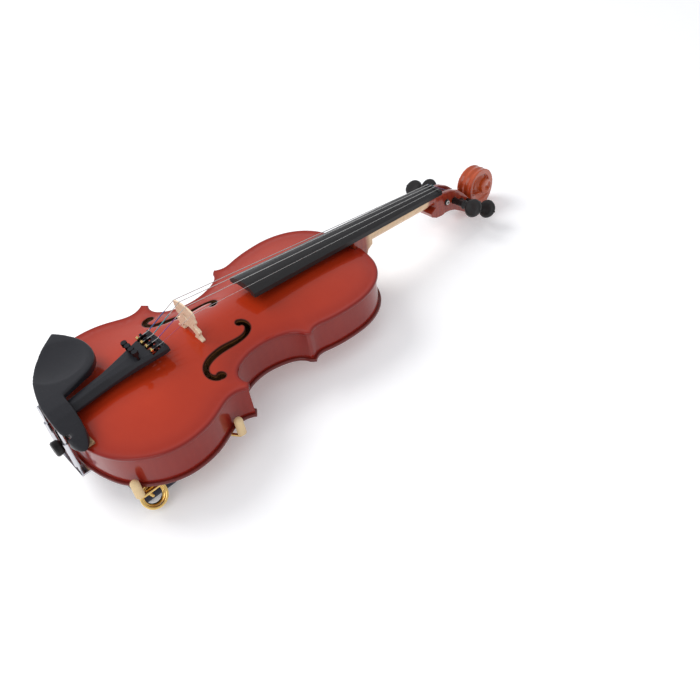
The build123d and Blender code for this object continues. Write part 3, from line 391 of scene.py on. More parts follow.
def makeFigureGroup():
    # the flame of maple: soft bands across the grain
    tree, g, ins, outs = makeGroup("mapleFlame", [("Vector", "NodeSocketVector", None),
                                                  ("Bands", "NodeSocketFloat", 130.0)],
                                   [("Flame", "NodeSocketFloat"), ("Fibre", "NodeSocketFloat")])
    bend = g.noise(g.stretched(ins.outputs["Vector"], (30, 14, 14)), 1.0, 2.0)
    parts = g.add("ShaderNodeSeparateXYZ", {"Vector": ins.outputs["Vector"]})
    phase = g.math("ADD", g.math("MULTIPLY", parts.outputs["X"], ins.outputs["Bands"]),
                   g.math("MULTIPLY", bend.outputs["Fac"], 5.5))
    wave = g.math("SINE", g.math("MULTIPLY", phase, 6.283), 0.0)
    patch = g.noise(g.stretched(ins.outputs["Vector"], (60, 20, 60)), 1.0, 1.0)
    g.link(g.math("MULTIPLY", g.math("ADD", g.math("MULTIPLY", wave, 0.5), 0.5),
                  g.math("ADD", patch.outputs["Fac"], 0.3)), outs.inputs["Flame"])
    fibre = g.noise(g.stretched(ins.outputs["Vector"], (40, 1500, 1500)), 1.0, 3.0)
    g.link(fibre.outputs["Fac"], outs.inputs["Fibre"])
    return tree


def makeHandlingGroup():
    # what handling leaves on a finish: faint smears and dust in patches
    tree, g, ins, outs = makeGroup("handling", [("Vector", "NodeSocketVector", None),
                                                ("Size", "NodeSocketFloat", 1.0)],
                                   [("Smear", "NodeSocketFloat"), ("Speck", "NodeSocketFloat")])
    vector = g.add("ShaderNodeVectorMath", {0: ins.outputs["Vector"]}, operation="SCALE")
    g.link(ins.outputs["Size"], vector.inputs["Scale"])
    smear = g.add("ShaderNodeTexNoise", {"Vector": vector.outputs[0], "Scale": 42.0, "Detail": 5.0,
                                         "Roughness": 0.62})
    speck = g.noise(vector.outputs[0], 1900.0, 1.0)
    g.link(smear.outputs["Fac"], outs.inputs["Smear"])
    g.link(g.math("GREATER_THAN", speck.outputs["Fac"], 0.72), outs.inputs["Speck"])
    return tree


grainGroup, flameGroup, handlingGroup = makeGrainGroup(), makeFigureGroup(), makeHandlingGroup()


def newMaterial(name, **principled):
    material = bpy.data.materials.new(name)
    material.use_nodes = True
    g = Graph(material.node_tree)
    shader = material.node_tree.nodes["Principled BSDF"]
    for key, value in principled.items():
        shader.inputs[key.replace("_", " ")].default_value = value
    place = g.add("ShaderNodeTexCoord").outputs["Object"]
    return material, g, shader, place


def placeGroup(g, tree, place, **values):
    node = g.add("ShaderNodeGroup", node_tree=tree)
    g.link(place, node.inputs["Vector"])
    for key, value in values.items():
        node.inputs[key].default_value = value
    return node


def bumped(g, shader, height, strength, distance):
    bump = g.add("ShaderNodeBump", {"Height": height, "Strength": strength, "Distance": distance})
    g.link(bump.outputs["Normal"], shader.inputs["Normal"])


def varnish(name, settings):
    material, g, shader, place = newMaterial(name, IOR=1.5, Specular_IOR_Level=0.08, Coat_Roughness=0.04,
                                             Coat_IOR=1.45)
    grain = placeGroup(g, grainGroup, place, Lines=settings["lines"], Wander=0.5)
    flame = placeGroup(g, flameGroup, place, Bands=settings["bands"])
    wear = placeGroup(g, handlingGroup, place, Size=1.0)
    colour = g.mix(g.math("MULTIPLY", grain.outputs["Grain"], settings["grain"]), settings["colour"],
                   settings["dark"])
    colour = g.mix(g.math("MULTIPLY", flame.outputs["Flame"], settings["flame"]), colour, settings["light"])
    colour = g.mix(g.math("MULTIPLY", wear.outputs["Smear"], 0.35), colour, settings["dark"])
    if settings.get("edge"):
        gap = g.add("ShaderNodeAttribute", attribute_name="edgeGap").outputs["Fac"]
        shade = g.ramp(g.math("MULTIPLY", gap, 1 / (60 * mm)),
                       [(0.0, 0.95), (0.07, 0.55), (0.35, 0.22), (1.0, 0.0)])
        colour = g.mix(shade, colour, settings["edgeColour"])
        hole = g.add("ShaderNodeAttribute", attribute_name="holeGap").outputs["Fac"]
        lip = g.ramp(g.math("MULTIPLY", hole, 1 / (4 * mm)), [(0.0, 1.0), (0.12, 0.85), (0.4, 0.0)])
        colour = g.mix(lip, colour, (0.030, 0.007, 0.004))
        bare = g.add("ShaderNodeAttribute", attribute_name="bare").outputs["Fac"]
        colour = g.mix(bare, colour, g.mix(grain.outputs["Grain"], (0.20, 0.085, 0.03), (0.10, 0.04, 0.015)))
        gloss = g.math("SUBTRACT", settings["gloss"], g.math("MULTIPLY", bare, settings["gloss"]))
        gloss = g.math("MULTIPLY", gloss, g.ramp(g.math("MULTIPLY", hole, 1 / mm), [(0.1, 0.0), (0.6, 1.0)]))
        g.link(gloss, shader.inputs["Coat Weight"])
    else:
        shader.inputs["Coat Weight"].default_value = settings["gloss"]
    g.link(colour, shader.inputs["Base Color"])
    g.link(g.ramp(wear.outputs["Smear"], [(0.2, 0.26), (0.8, 0.36)]), shader.inputs["Roughness"])
    bumped(g, shader, g.math("ADD", grain.outputs["Grain"], g.math("MULTIPLY", wear.outputs["Smear"], 0.6)),
           0.12, 0.05 * mm)
    return material


spruceVarnish = varnish("spruceVarnish", dict(
    lines=760.0, bands=60.0, grain=0.25, flame=0.04, edge=True, gloss=0.75,
    colour=(0.46, 0.036, 0.008), dark=(0.31, 0.016, 0.005), light=(0.60, 0.06, 0.018),
                                              edgeColour=(0.20, 0.008, 0.005)))
mapleVarnish = varnish("mapleVarnish", dict(
    lines=420.0, bands=125.0, grain=0.2, flame=0.12, edge=False, gloss=0.8,
    colour=(0.26, 0.016, 0.009), dark=(0.12, 0.007, 0.006), light=(0.36, 0.035, 0.014)))
backVarnish = varnish("backVarnish", dict(
    lines=420.0, bands=125.0, grain=0.25, flame=0.3, edge=True, gloss=0.8,
    colour=(0.30, 0.024, 0.010), dark=(0.12, 0.012, 0.008), light=(0.50, 0.08, 0.026),
                                          edgeColour=(0.12, 0.008, 0.006)))


def bareWood(name, colour, dark, roughness, lines=500.0, flecks=0.0, flame=0.2):
    material, g, shader, place = newMaterial(name, IOR=1.45)
    grain = placeGroup(g, grainGroup, place, Lines=lines, Wander=0.8)
    figure = placeGroup(g, flameGroup, place, Bands=140.0)
    wear = placeGroup(g, handlingGroup, place, Size=1.6)
    base = g.mix(g.math("MULTIPLY", grain.outputs["Grain"], 0.6), colour, dark)
    base = g.mix(g.math("MULTIPLY", figure.outputs["Flame"], flame), base,
                 tuple(min(1, c * 1.2) for c in colour))
    base = g.mix(g.math("MULTIPLY", wear.outputs["Smear"], 0.3), base, dark)
    if flecks:
        cells = g.noise(g.stretched(place, (600, 520, 2600)), 1.0, 1.0)
        mark = g.ramp(cells.outputs["Fac"], [(0.58, 0.0), (0.68, 1.0)])
        base = g.mix(g.math("MULTIPLY", mark, flecks), base, dark)
    g.link(base, shader.inputs["Base Color"])
    g.link(g.ramp(wear.outputs["Smear"], [(0.3, roughness - 0.06), (0.8, roughness + 0.1)]),
           shader.inputs["Roughness"])
    bumped(g, shader, grain.outputs["Pores"], 0.3, 0.06 * mm)
    return material


bridgeMaple = bareWood("bridgeMaple", (0.92, 0.72, 0.52), (0.58, 0.37, 0.24), 0.42, flecks=0.45)
innerSpruce = bareWood("innerSpruce", (0.62, 0.42, 0.24), (0.36, 0.20, 0.09), 0.7)
cork = bareWood("corkSheet", (0.48, 0.30, 0.16), (0.22, 0.12, 0.06), 0.85, lines=900.0, flecks=0.9)


def blackWood():
    material, g, shader, place = newMaterial("ebony", IOR=1.5, Specular_IOR_Level=0.32)
    grain = placeGroup(g, grainGroup, place, Lines=900.0, Wander=0.6)
    wear = placeGroup(g, handlingGroup, place, Size=1.2)
    base = g.mix(grain.outputs["Grain"], (0.011, 0.010, 0.010), (0.024, 0.020, 0.019))
    base = g.mix(g.math("MULTIPLY", wear.outputs["Smear"], 0.5), base, (0.026, 0.025, 0.026))
    g.link(base, shader.inputs["Base Color"])
    g.link(g.ramp(wear.outputs["Smear"], [(0.3, 0.33), (0.75, 0.47)]), shader.inputs["Roughness"])
    bumped(g, shader, grain.outputs["Pores"], 0.25, 0.05 * mm)
    return material


def moulded(name, colour, roughness, texture=0.12, sheen=0.0):
    material, g, shader, place = newMaterial(name, IOR=1.48, Specular_IOR_Level=0.4, Sheen_Weight=sheen)
    wear = placeGroup(g, handlingGroup, place, Size=1.0)
    fine = g.noise(place, 1400.0, 2.0)
    base = g.mix(g.math("MULTIPLY", wear.outputs["Smear"], 0.5), colour,
                 tuple(min(1, c * 1.55 + 0.006) for c in colour))
    base = g.mix(g.math("MULTIPLY", wear.outputs["Speck"], 0.10), base, (0.5, 0.48, 0.46))
    g.link(base, shader.inputs["Base Color"])
    g.link(g.ramp(wear.outputs["Smear"], [(0.3, roughness - 0.05), (0.8, roughness + 0.09)]),
           shader.inputs["Roughness"])
    bumped(g, shader, fine.outputs["Fac"], texture, 0.05 * mm)
    return material


def metal(name, colour, roughness, brushed=0.0):
    material, g, shader, place = newMaterial(name, Metallic=1.0)
    wear = placeGroup(g, handlingGroup, place, Size=2.5)
    streaks = g.noise(g.stretched(place, (300, 5200, 5200)), 1.0, 2.0)
    base = g.mix(g.math("MULTIPLY", wear.outputs["Smear"], 0.4), colour, tuple(c * 0.72 for c in colour))
    g.link(base, shader.inputs["Base Color"])
    g.link(g.ramp(wear.outputs["Smear"], [(0.25, max(0.03, roughness - 0.04)), (0.8, roughness + 0.12)]),
           shader.inputs["Roughness"])
    bumped(g, shader, streaks.outputs["Fac"], 0.08 + brushed, 0.02 * mm)
    return material


def woundString(name, colour, wrapsPerMetre):
    # a steel core with a flat wire wound round it
    material, g, shader, place = newMaterial(name, Metallic=1.0)
    parts = g.add("ShaderNodeSeparateXYZ", {"Vector": place})
    wraps = g.math("SINE", g.math("MULTIPLY", parts.outputs["X"], wrapsPerMetre * 6.283), 0.0)
    wear = placeGroup(g, handlingGroup, place, Size=3.0)
    g.link(g.mix(g.math("MULTIPLY", wear.outputs["Smear"], 0.5), colour, tuple(c * 0.6 for c in colour)),
           shader.inputs["Base Color"])
    g.link(g.ramp(wear.outputs["Smear"], [(0.3, 0.2), (0.8, 0.38)]), shader.inputs["Roughness"])
    bumped(g, shader, wraps, 0.25, 0.03 * mm)
    return material


def silk(name, colour):
    material, g, shader, place = newMaterial(name, Sheen_Weight=0.4)
    threads = g.noise(g.stretched(place, (5200, 500, 500)), 1.0, 2.0)
    g.link(g.mix(threads.outputs["Fac"], tuple(c * 0.45 for c in colour), colour),
           shader.inputs["Base Color"])
    g.link(g.ramp(threads.outputs["Fac"], [(0.3, 0.45), (0.7, 0.7)]), shader.inputs["Roughness"])
    bumped(g, shader, threads.outputs["Fac"], 0.5, 0.05 * mm)
    return material


def velvetCloth():
    material, g, shader, place = newMaterial("velvet", Roughness=0.9, Sheen_Weight=0.8, Sheen_Roughness=0.35)
    nap = g.noise(place, 900.0, 3.0)
    crush = g.noise(place, 55.0, 3.0)
    base = g.mix(crush.outputs["Fac"], (0.006, 0.008, 0.022), (0.020, 0.026, 0.060))
    g.link(g.mix(g.math("MULTIPLY", nap.outputs["Fac"], 0.5), base, (0.004, 0.005, 0.012)),
           shader.inputs["Base Color"])
    bumped(g, shader, g.math("ADD", nap.outputs["Fac"], crush.outputs["Fac"]), 0.6, 0.25 * mm)
    return material


ebony = blackWood()
blackPlastic = moulded("blackPlastic", (0.010, 0.010, 0.013), 0.40)
framePlastic = moulded("framePlastic", (0.022, 0.022, 0.024), 0.45)
rubber = moulded("beigeRubber", (0.66, 0.48, 0.26), 0.55, 0.25)
nylon = moulded("blackNylon", (0.015, 0.015, 0.015), 0.28)
chrome = metal("chrome", (0.62, 0.62, 0.65), 0.16)
blackSteel = metal("blackenedSteel", (0.055, 0.055, 0.06), 0.25)
brass = metal("brass", (0.90, 0.62, 0.22), 0.12)
steelString = woundString("steelString", (0.74, 0.73, 0.70), 3600)
velvet = velvetCloth()
silkColours = {"g": (0.03, 0.10, 0.32), "d": (0.05, 0.36, 0.42), "a": (0.30, 0.06, 0.28),
               "e": (0.55, 0.05, 0.10)}
print("materials ready")

nodeMaterials = {
    "rib_": mapleVarnish, "top_plate": spruceVarnish, "back_plate": backVarnish, "neck_scroll": mapleVarnish,
    "neck_block": innerSpruce, "end_block": innerSpruce, "corner_blocks": innerSpruce, "linings": innerSpruce,
    "bass_bar": innerSpruce, "sound_post": innerSpruce, "fingerboard": ebony, "nut": ebony, "saddle": ebony,
    "end_button": ebony, "peg_": ebony, "tailgut": nylon, "tailpiece": blackPlastic, "tuner_pin": chrome,
    "tuner_lever": blackSteel, "tuner_stem": blackSteel, "tuner_knob": blackSteel, "bridge": bridgeMaple,
    "string_": steelString, "chinrest_plate": blackPlastic, "chinrest_pads": cork, "chinrest_posts": chrome,
    "chinrest_barrel": chrome, "chinrest_foot": chrome, "chinrest_foot_cork": cork, "rest_bar": framePlastic,
    "rest_pad": velvet, "rest_hoop": brass, "rest_fork": brass, "rest_sleeves": rubber,
}
for nodeName, node in frame["nodes"].items():
    match = max((key for key in nodeMaterials if nodeName.startswith(key)), key=len)
    node.data.materials.clear()
    node.data.materials.append(nodeMaterials[match])


# Plates: outline and f-holes read from the frame, arched, rounded and fluted at the edge
def wallLoops(node, up):
    bm = bmesh.new()
    bm.from_mesh(frame["nodes"][node].data)
    bm.transform(lay.inverted())
    bmesh.ops.remove_doubles(bm, verts=bm.verts, dist=2e-6)
    bm.normal_update()
    nextTo = {}
    for edge in bm.edges:
        if len(edge.link_faces) != 2:
            continue
        heights = sorted((f.normal.z * up for f in edge.link_faces), key=abs)
        if abs(heights[0]) < 0.3 and heights[1] > 0.4:
            a, b = edge.verts
            nextTo.setdefault(a.index, []).append(b.index)
            nextTo.setdefault(b.index, []).append(a.index)
    bm.verts.ensure_lookup_table()
    loops, seen = [], set()
    for start in nextTo:
        if start in seen:
            continue
        chain = []
        for _ in range(2):
            here = start if not chain else next((n for n in nextTo[start] if n not in seen), None)
            while here is not None and here not in seen:
                seen.add(here)
                chain.append(tuple(bm.verts[here].co.xy))
                here = next((n for n in nextTo[here] if n not in seen), None)
            chain.reverse()
        if len(chain) > 4:
            loops.append(np.array(chain))
    # join open runs whose ends meet
    joined = True
    while joined:
        joined = False
        for i, a in enumerate(loops):
            for j, b in enumerate(loops):
                if i == j or np.linalg.norm(a[0] - a[-1]) < 4 * mm or np.linalg.norm(b[0] - b[-1]) < 4 * mm:
                    continue
                if np.linalg.norm(a[-1] - b[-1]) < np.linalg.norm(a[-1] - b[0]):
                    b = b[::-1]
                if np.linalg.norm(a[-1] - b[0]) < 8 * mm:
                    loops = [loop for k, loop in enumerate(loops)
                             if k not in (i, j)] + [np.concatenate([a, b])]
                    joined = True
                    break
            if joined:
                break
    bm.free()
    return sorted(loops, key=lambda loop: -np.ptp(loop[:, 0]))


plates = dict(edge=4.0 * mm, topArch=12.0 * mm, backArch=11.0 * mm, thickness=3.2 * mm, flat=9.0 * mm,
              edgeRadius=1.7 * mm, fluteDepth=0.55 * mm, fluteAt=6.0 * mm, fluteWidth=2.6 * mm,
              archSpread=22 * mm, archShare=0.97, pointSpacing=1.3 * mm, holeSpacing=0.8 * mm,
              gridSpacing=3.0 * mm, overhang=3.2 * mm, tableStep=4 * mm, innerRadius=1.2 * mm,
              lipRadius=0.6 * mm, slopeWidth=3 * mm, sharpAngle=50)
topLoops = wallLoops("top_plate", 1)
backLoops = wallLoops("back_plate", -1)
print("plate loops", [len(loop) for loop in topLoops], [len(loop) for loop in backLoops])
topOutline = flowing(topLoops[0], plates["pointSpacing"])
fHoles = [flowing(loop, plates["holeSpacing"]) for loop in topLoops[1:3]]
backOutline = flowing(backLoops[0], plates["pointSpacing"])
bodyLength = topOutline[:, 0].max()
halfTable = []
for i in range(int(bodyLength / plates["tableStep"]) + 1):
    near = np.abs(topOutline[:, 0] - plates["tableStep"] * i) < plates["tableStep"]
    halfTable.append(np.abs(topOutline[near, 1]).mean() if near.any() else 0.0)
halfTable = np.array(halfTable)


def archRise(points):
    x, y = points[:, 0], points[:, 1]
    places = plates["tableStep"] * np.arange(len(halfTable))[None]
    weights = np.maximum(0, 1 - np.abs(places - x[:, None]) / plates["archSpread"])
    half = plates["archShare"] * (weights * halfTable).sum(1) / np.maximum(weights.sum(1), 1e-9)
    u = np.clip(np.abs(2 * x / bodyLength - 1), 0, 1)
    s = np.clip(np.abs(y) / np.maximum(half, 1e-6), 0, 1)
    return (1 - u**2.5) ** 1.15 * (1 - s * s) ** 2


def plateFaces(base, rise, up):
    # heights of the outer and inner face; up is 1 for the top and -1 for the back
    def outside(points, edgeGap, holeGap):
        flute = plates["fluteDepth"] * np.exp(-(((edgeGap - plates["fluteAt"]) / plates["fluteWidth"]) ** 2))
        lip = rounded(edgeGap, plates["edgeRadius"]) + rounded(holeGap, plates["lipRadius"])
        return up * (base + plates["edge"] + rise * archRise(points) - flute - lip)

    def within(points, edgeGap, holeGap):
        hollow = np.clip((edgeGap - plates["flat"]) / plates["slopeWidth"], 0, 1)
        inner = np.maximum(0, plates["edge"] + rise * archRise(points) - plates["thickness"])
        eased = rounded(edgeGap, plates["innerRadius"]) + 0.2 * rounded(holeGap, plates["lipRadius"])
        return up * (base + hollow * inner + eased)

    return outside, within


edgeRings = [0.2 * mm, 0.55 * mm, 1.0 * mm, 1.7 * mm, 2.7 * mm, 4.0 * mm, 5.4 * mm, 7.0 * mm, 8.8 * mm,
             10.8 * mm]
holeRings = [0.2 * mm, 0.6 * mm, 1.3 * mm]


def makePlate(name, outline, holes, base, rise, up, material):
    outside, within = plateFaces(base, rise, up)
    verts, faces, edgeGap, holeGap = slab(outline, holes, plates["gridSpacing"], edgeRings, holeRings,
                                          outside, within)
    piece = makePiece(name, verts, faces, material, stands=[name.replace("Plate", "_plate")])
    storeOnPoints(piece.data, "edgeGap", edgeGap)
    storeOnPoints(piece.data, "holeGap", holeGap)
    count = len(verts) // 2
    inner = edgeGap > plates["overhang"]
    inner[:count] = False
    storeOnPoints(piece.data, "bare", inner.astype(float))
    cleanMesh(piece.data)
    piece.data.set_sharp_from_angle(angle=math.radians(plates["sharpAngle"]))
    print(name, len(piece.data.polygons), "faces")
    return piece


makePlate("topPlate", topOutline, fHoles, ribTop, plates["topArch"], 1, spruceVarnish)
makePlate("backPlate", backOutline, [], 0.0, plates["backArch"], -1, backVarnish)


# Neck, pegbox and scroll
scroll = dict(outer=22.0, inner=3.9, outlineEnd=190.0, innerEnd=750.0, start=-80.0, bulge=6.4,
              edgeHalf=8.4, eyeHalf=20.6, cove=3.0, chamfer=1.0, fluteDepth=1.5, eyeTip=20.5,
              discTop=10.75, discReach=17.5, discHalf=6.0, rimHalf=8.0, backHalf=11.0, rimDepth=2.5,
              headReach=26)
neckPoints = levelPoints("neck_scroll")
eyeTip = neckPoints[np.abs(neckPoints[:, 1]) > scroll["eyeTip"] * mm]
voluteX, voluteZ = eyeTip[:, 0].mean() - 0.5 * mm, eyeTip[:, 2].mean()


def voluteRadius(turn):
    # radius of the volute's edge in mm, by the angle it has wound through
    if turn < scroll["outlineEnd"]:
        bend = max(0.0, 1 - (turn - scroll["start"]) / 15 / 9)
        return scroll["outer"] + scroll["bulge"] * bend**1.6 - 0.15
    share = (turn - scroll["outlineEnd"]) / (scroll["innerEnd"] - scroll["outlineEnd"])
    return scroll["outer"] * (scroll["inner"] / scroll["outer"]) ** min(share, 1.0)


def voluteHalf(turn):
    share = max(0.0, min(1.0, (turn - 20) / (scroll["innerEnd"] - 60)))
    return scroll["edgeHalf"] + (scroll["eyeHalf"] - scroll["edgeHalf"]) * share**0.85


def voluteSide(bearing, r):
    # half width of the carved volute at one bearing (degrees) and radius (mm)
    turns = [t for t in (bearing - 360, bearing, bearing + 360, bearing + 720)
             if scroll["start"] <= t <= scroll["innerEnd"] and voluteRadius(t) >= r - 1e-6]
    if not turns:
        return None
    turn = max(turns)
    edge = voluteRadius(turn)
    floor = voluteRadius(turn + 360) if turn + 360 <= scroll["innerEnd"] else 0.0
    half = voluteHalf(turn)
    if floor == 0.0:
        return half - 1.2 * (r / edge) ** 2
    t = (r - floor) / max(0.5, edge - floor)
    cove = scroll["cove"] * math.sin(math.pi * min(1, t) ** 0.8)
    return half - cove - scroll["chamfer"] * max(0.0, (t - 0.82) / 0.18) ** 1.5


def voluteSolid():
    around, rings = 180, 64
    verts, faces = [], []
    for side in (1, -1):
        verts.append((voluteX, side * scroll["eyeHalf"] * mm, voluteZ))
        for i in range(around):
            bearing = scroll["start"] + 360 * i / around
            limit = max(voluteRadius(t) for t in (bearing, bearing + 360) if t != scroll["outlineEnd"])
            if bearing > scroll["outlineEnd"]:
                limit = voluteRadius(bearing)
            for k in range(1, rings + 1):
                r = limit * k / rings
                half = voluteSide(bearing, min(r, limit - 1e-3)) or 6.0
                a = math.radians(bearing)
                verts.append((voluteX + r * mm * math.cos(a), side * half * mm,
                              voluteZ + r * mm * math.sin(a)))
    count = 1 + around * rings
    for s in range(2):
        base = s * count
        for i in range(around):
            j = (i + 1) % around
            a, b = base + 1 + i * rings, base + 1 + j * rings
            faces.append((base, a, b) if s else (base, b, a))
            for k in range(rings - 1):
                quad = (a + k, a + k + 1, b + k + 1, b + k)
                faces.append(quad if s else quad[::-1])
    for i in range(around):
        j = (i + 1) % around
        a, b = 1 + i * rings + rings - 1, 1 + j * rings + rings - 1
        faces.append((a, b, b + count, a + count))
    return verts, faces


def slimDiscs(bm):
    # the frame's stepped discs go inside the carved volute
    for v in bm.verts:
        gap = math.hypot(v.co.x - voluteX, v.co.z - voluteZ)
        if abs(v.co.y) > scroll["discTop"] * mm and gap < scroll["discReach"] * mm:
            v.co.y = math.copysign(scroll["discHalf"] * mm, v.co.y)


def fluteBack(mesh):
    # two shallow channels run up the back of the pegbox and over the scroll
    inverse = lay.inverted()
    turnBack = np.array(inverse.to_3x3())
    count = len(mesh.vertices)
    co, normal = np.zeros(count * 3), np.zeros(count * 3)
    mesh.vertices.foreach_get("co", co)
    mesh.vertices.foreach_get("normal", normal)
    co, normal = co.reshape(-1, 3), normal.reshape(-1, 3)
    flat = co @ turnBack.T + np.array(inverse.translation)
    turned = normal @ turnBack.T
    gap = np.hypot(flat[:, 0] - voluteX, flat[:, 2] - voluteZ)
    nutX = levelPoints("nut")[:, 0].min()
    back = (flat[:, 0] > nutX - 8 * mm) & (turned[:, 2] < -0.35) & (flat[:, 0] < voluteX)
    rim = (gap > (scroll["outer"] - scroll["rimDepth"]) * mm) & ~back
    rim &= flat[:, 0] > voluteX - scroll["headReach"] * mm
    facing = np.clip((0.5 - np.abs(turned[:, 1])) / 0.4, 0, 1)
    half = np.where(rim, scroll["rimHalf"] * mm, scroll["backHalf"] * mm)
    wave = np.sin(np.clip(np.abs(flat[:, 1]) / half, 0, 1) * math.pi) ** 2
    depth = scroll["fluteDepth"] * mm * wave * facing * (back | rim)
    co -= normal * depth[:, None]
    mesh.vertices.foreach_set("co", co.ravel())
    mesh.update()


def neckFinish():
    # bare maple where the hand runs, varnish on the heel and the head, and a painted highlight lightening the
    # scroll
    material, g, shader, place = newMaterial("neckFinish", IOR=1.5, Specular_IOR_Level=0.2,
                                             Coat_Roughness=0.05, Coat_IOR=1.5)
    heelX = (lay @ Vector((bodyLength + 15 * mm, 0, 0))).x
    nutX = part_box("nut")[0].x
    headX = (lay @ Vector((voluteX - 30 * mm, 0, voluteZ))).x
    parts = g.add("ShaderNodeSeparateXYZ", {"Vector": place})
    span = g.add("ShaderNodeMapRange", {"Value": parts.outputs["X"], "From Min": heelX - 10 * mm,
                                        "From Max": nutX + 10 * mm})
    total = nutX - heelX + 20 * mm
    mask = g.ramp(span.outputs["Result"], [(6 * mm / total, 1.0), (13 * mm / total, 0.0),
                                           (1 - 31 * mm / total, 0.0), (1 - 26 * mm / total, 1.0)])
    grain = placeGroup(g, grainGroup, place, Lines=480.0, Wander=0.7)
    flame = placeGroup(g, flameGroup, place, Bands=150.0)
    wear = placeGroup(g, handlingGroup, place, Size=1.3)
    bare = g.mix(g.math("MULTIPLY", grain.outputs["Grain"], 0.6), (0.76, 0.54, 0.34), (0.52, 0.32, 0.18))
    bare = g.mix(g.math("MULTIPLY", flame.outputs["Flame"], 0.3), bare, (0.84, 0.64, 0.44))
    red = g.mix(g.math("MULTIPLY", grain.outputs["Grain"], 0.35), (0.26, 0.022, 0.009), (0.10, 0.008, 0.005))
    red = g.mix(g.math("MULTIPLY", flame.outputs["Flame"], 0.2), red, (0.50, 0.10, 0.02))
    # painted highlight: from the start of the head to the scroll's end the varnish is lightened towards
    # amber, standing in for light caught on the scroll
    paintedScrollHighlight = g.ramp(g.math("MULTIPLY", g.math("SUBTRACT", parts.outputs["X"], headX), 1 / (20 * mm)),
                   [(0.0, 0.0), (1.0, 0.8)])
    red = g.mix(paintedScrollHighlight, red, (0.50, 0.075, 0.012))
    g.link(g.mix(mask, bare, red), shader.inputs["Base Color"])
    g.link(mask, shader.inputs["Coat Weight"])
    g.link(g.ramp(wear.outputs["Smear"], [(0.3, 0.24), (0.8, 0.42)]), shader.inputs["Roughness"])
    bumped(g, shader, grain.outputs["Pores"], 0.12, 0.05 * mm)
    return material


neck = carved("neckAndScroll", "neck_scroll", 0.5 * mm, 4, [voluteSolid()], slimDiscs)
fluteBack(neck.data)
finishPiece(neck, neckFinish(), stands=["neck_scroll"])


# Pegs
pegs = dict(headRadius=10.9, headThickness=4.1, dish=0.30, headOut=14.2, tip=41.5, pipAt=25.3,
            turned=dict(g=35, e=48, d=48, a=52))


def makePeg(name):
    joint = jointNamed(f"peg_{name}_turn")
    toLevel = lay.inverted()
    seat = toLevel @ Vector(joint["pos_m"])
    axis = (toLevel.to_3x3() @ Vector(joint["axis"])).normalized()
    profile = [(-pegs["tip"] + 0.1, 2.6), (-41.0, 3.1), (-40.2, 3.29), (-20, 3.62), (-0.1, 3.96), (0.0, 4.6),
               (0.5, 5.3), (1.1, 5.45), (1.7, 5.3), (2.1, 4.5), (2.4, 4.1), (2.8, 4.0), (3.3, 4.3),
               (3.8, 4.15), (4.3, 3.5), (5.0, 3.2), (6.2, 3.2), (7.0, 2.6)]
    verts, faces = lathe([(a * mm, r * mm) for a, r in profile], seat, axis)
    lean = math.radians(pegs["turned"][name])
    sideways = Vector((math.cos(lean), 0, math.sin(lean)))
    third = axis.cross(sideways)
    centre = seat + axis * pegs["headOut"] * mm
    around, rings = 64, 18
    start = len(verts)
    for side in (1, -1):
        for k in range(rings + 1):
            t = k / rings
            for i in range(around):
                a = 2 * math.pi * i / around
                pinch = 1 - 0.08 * max(0.0, -math.cos(a)) ** 3
                radius = pegs["headRadius"] * t * pinch
                body = max(0.0, 1 - t**5) ** 0.5
                dish = 1 - pegs["dish"] * math.exp(-((t / 0.55) ** 2))
                throat = 1.2 * math.exp(-(((1 + t * math.cos(a)) / 0.35) ** 2))
                thick = (pegs["headThickness"] * dish + throat) * body
                verts.append(centre + axis * radius * mm * math.cos(a) + sideways * radius * mm * math.sin(a)
                             + third * side * thick * mm)
    for s in range(2):
        base = start + s * (rings + 1) * around
        for k in range(rings):
            for i in range(around):
                j = (i + 1) % around
                quad = (base + k * around + i, base + k * around + j, base + (k + 1) * around + j,
                        base + (k + 1) * around + i)
                faces.append(quad if s else quad[::-1])
    pipVerts, pipFaces = lathe([(-1.6 * mm, 0.9 * mm), (-0.6 * mm, 1.25 * mm), (0.3 * mm, 1.2 * mm),
                                (1.0 * mm, 0.6 * mm)],
                               seat + axis * pegs["pipAt"] * mm, axis, 20)
    faces += [tuple(i + len(verts) for i in f) for f in pipFaces]
    verts += pipVerts
    piece = makePiece(f"peg_{name}_turned", verts, faces, ebony, body=f"peg_{name}",
                      stands=[f"peg_{name}"])
    bm = bmesh.new()
    bm.from_mesh(piece.data)
    bmesh.ops.remove_doubles(bm, verts=bm.verts, dist=1e-6)
    bmesh.ops.recalc_face_normals(bm, faces=bm.faces)
    bm.to_mesh(piece.data)
    bm.free()


def pearl():
    material, g, shader, place = newMaterial("pearl", Coat_Weight=0.6, Coat_Roughness=0.1)
    clouds = g.noise(place, 900.0, 2.0)
    g.link(g.mix(clouds.outputs["Fac"], (0.72, 0.68, 0.62), (0.86, 0.82, 0.78)), shader.inputs["Base Color"])
    g.link(g.ramp(clouds.outputs["Fac"], [(0.3, 0.2), (0.7, 0.35)]), shader.inputs["Roughness"])
    return material


for pegName in "gdae":
    makePeg(pegName)
tipJoint = jointNamed("peg_g_turn")
tipAxis = (lay.inverted().to_3x3() @ Vector(tipJoint["axis"])).normalized()
tipPlace = lay.inverted() @ Vector(tipJoint["pos_m"]) - tipAxis * pegs["tip"] * mm
tipParts = (("pearlRing", pearl(), [(0.2, 2.55), (-0.15, 2.5), (-0.25, 2.1)]),
            ("tipEye", ebony, [(0.1, 1.5), (-0.3, 1.45), (-0.38, 1.1)]))
for partName, partMaterial, rows in tipParts:
    partVerts, partFaces = lathe([(a * mm, r * mm) for a, r in rows], tipPlace, tipAxis, 32)
    makePiece(f"peg_g_{partName}", partVerts, partFaces, partMaterial, body="peg_g")
print("pegs turned")


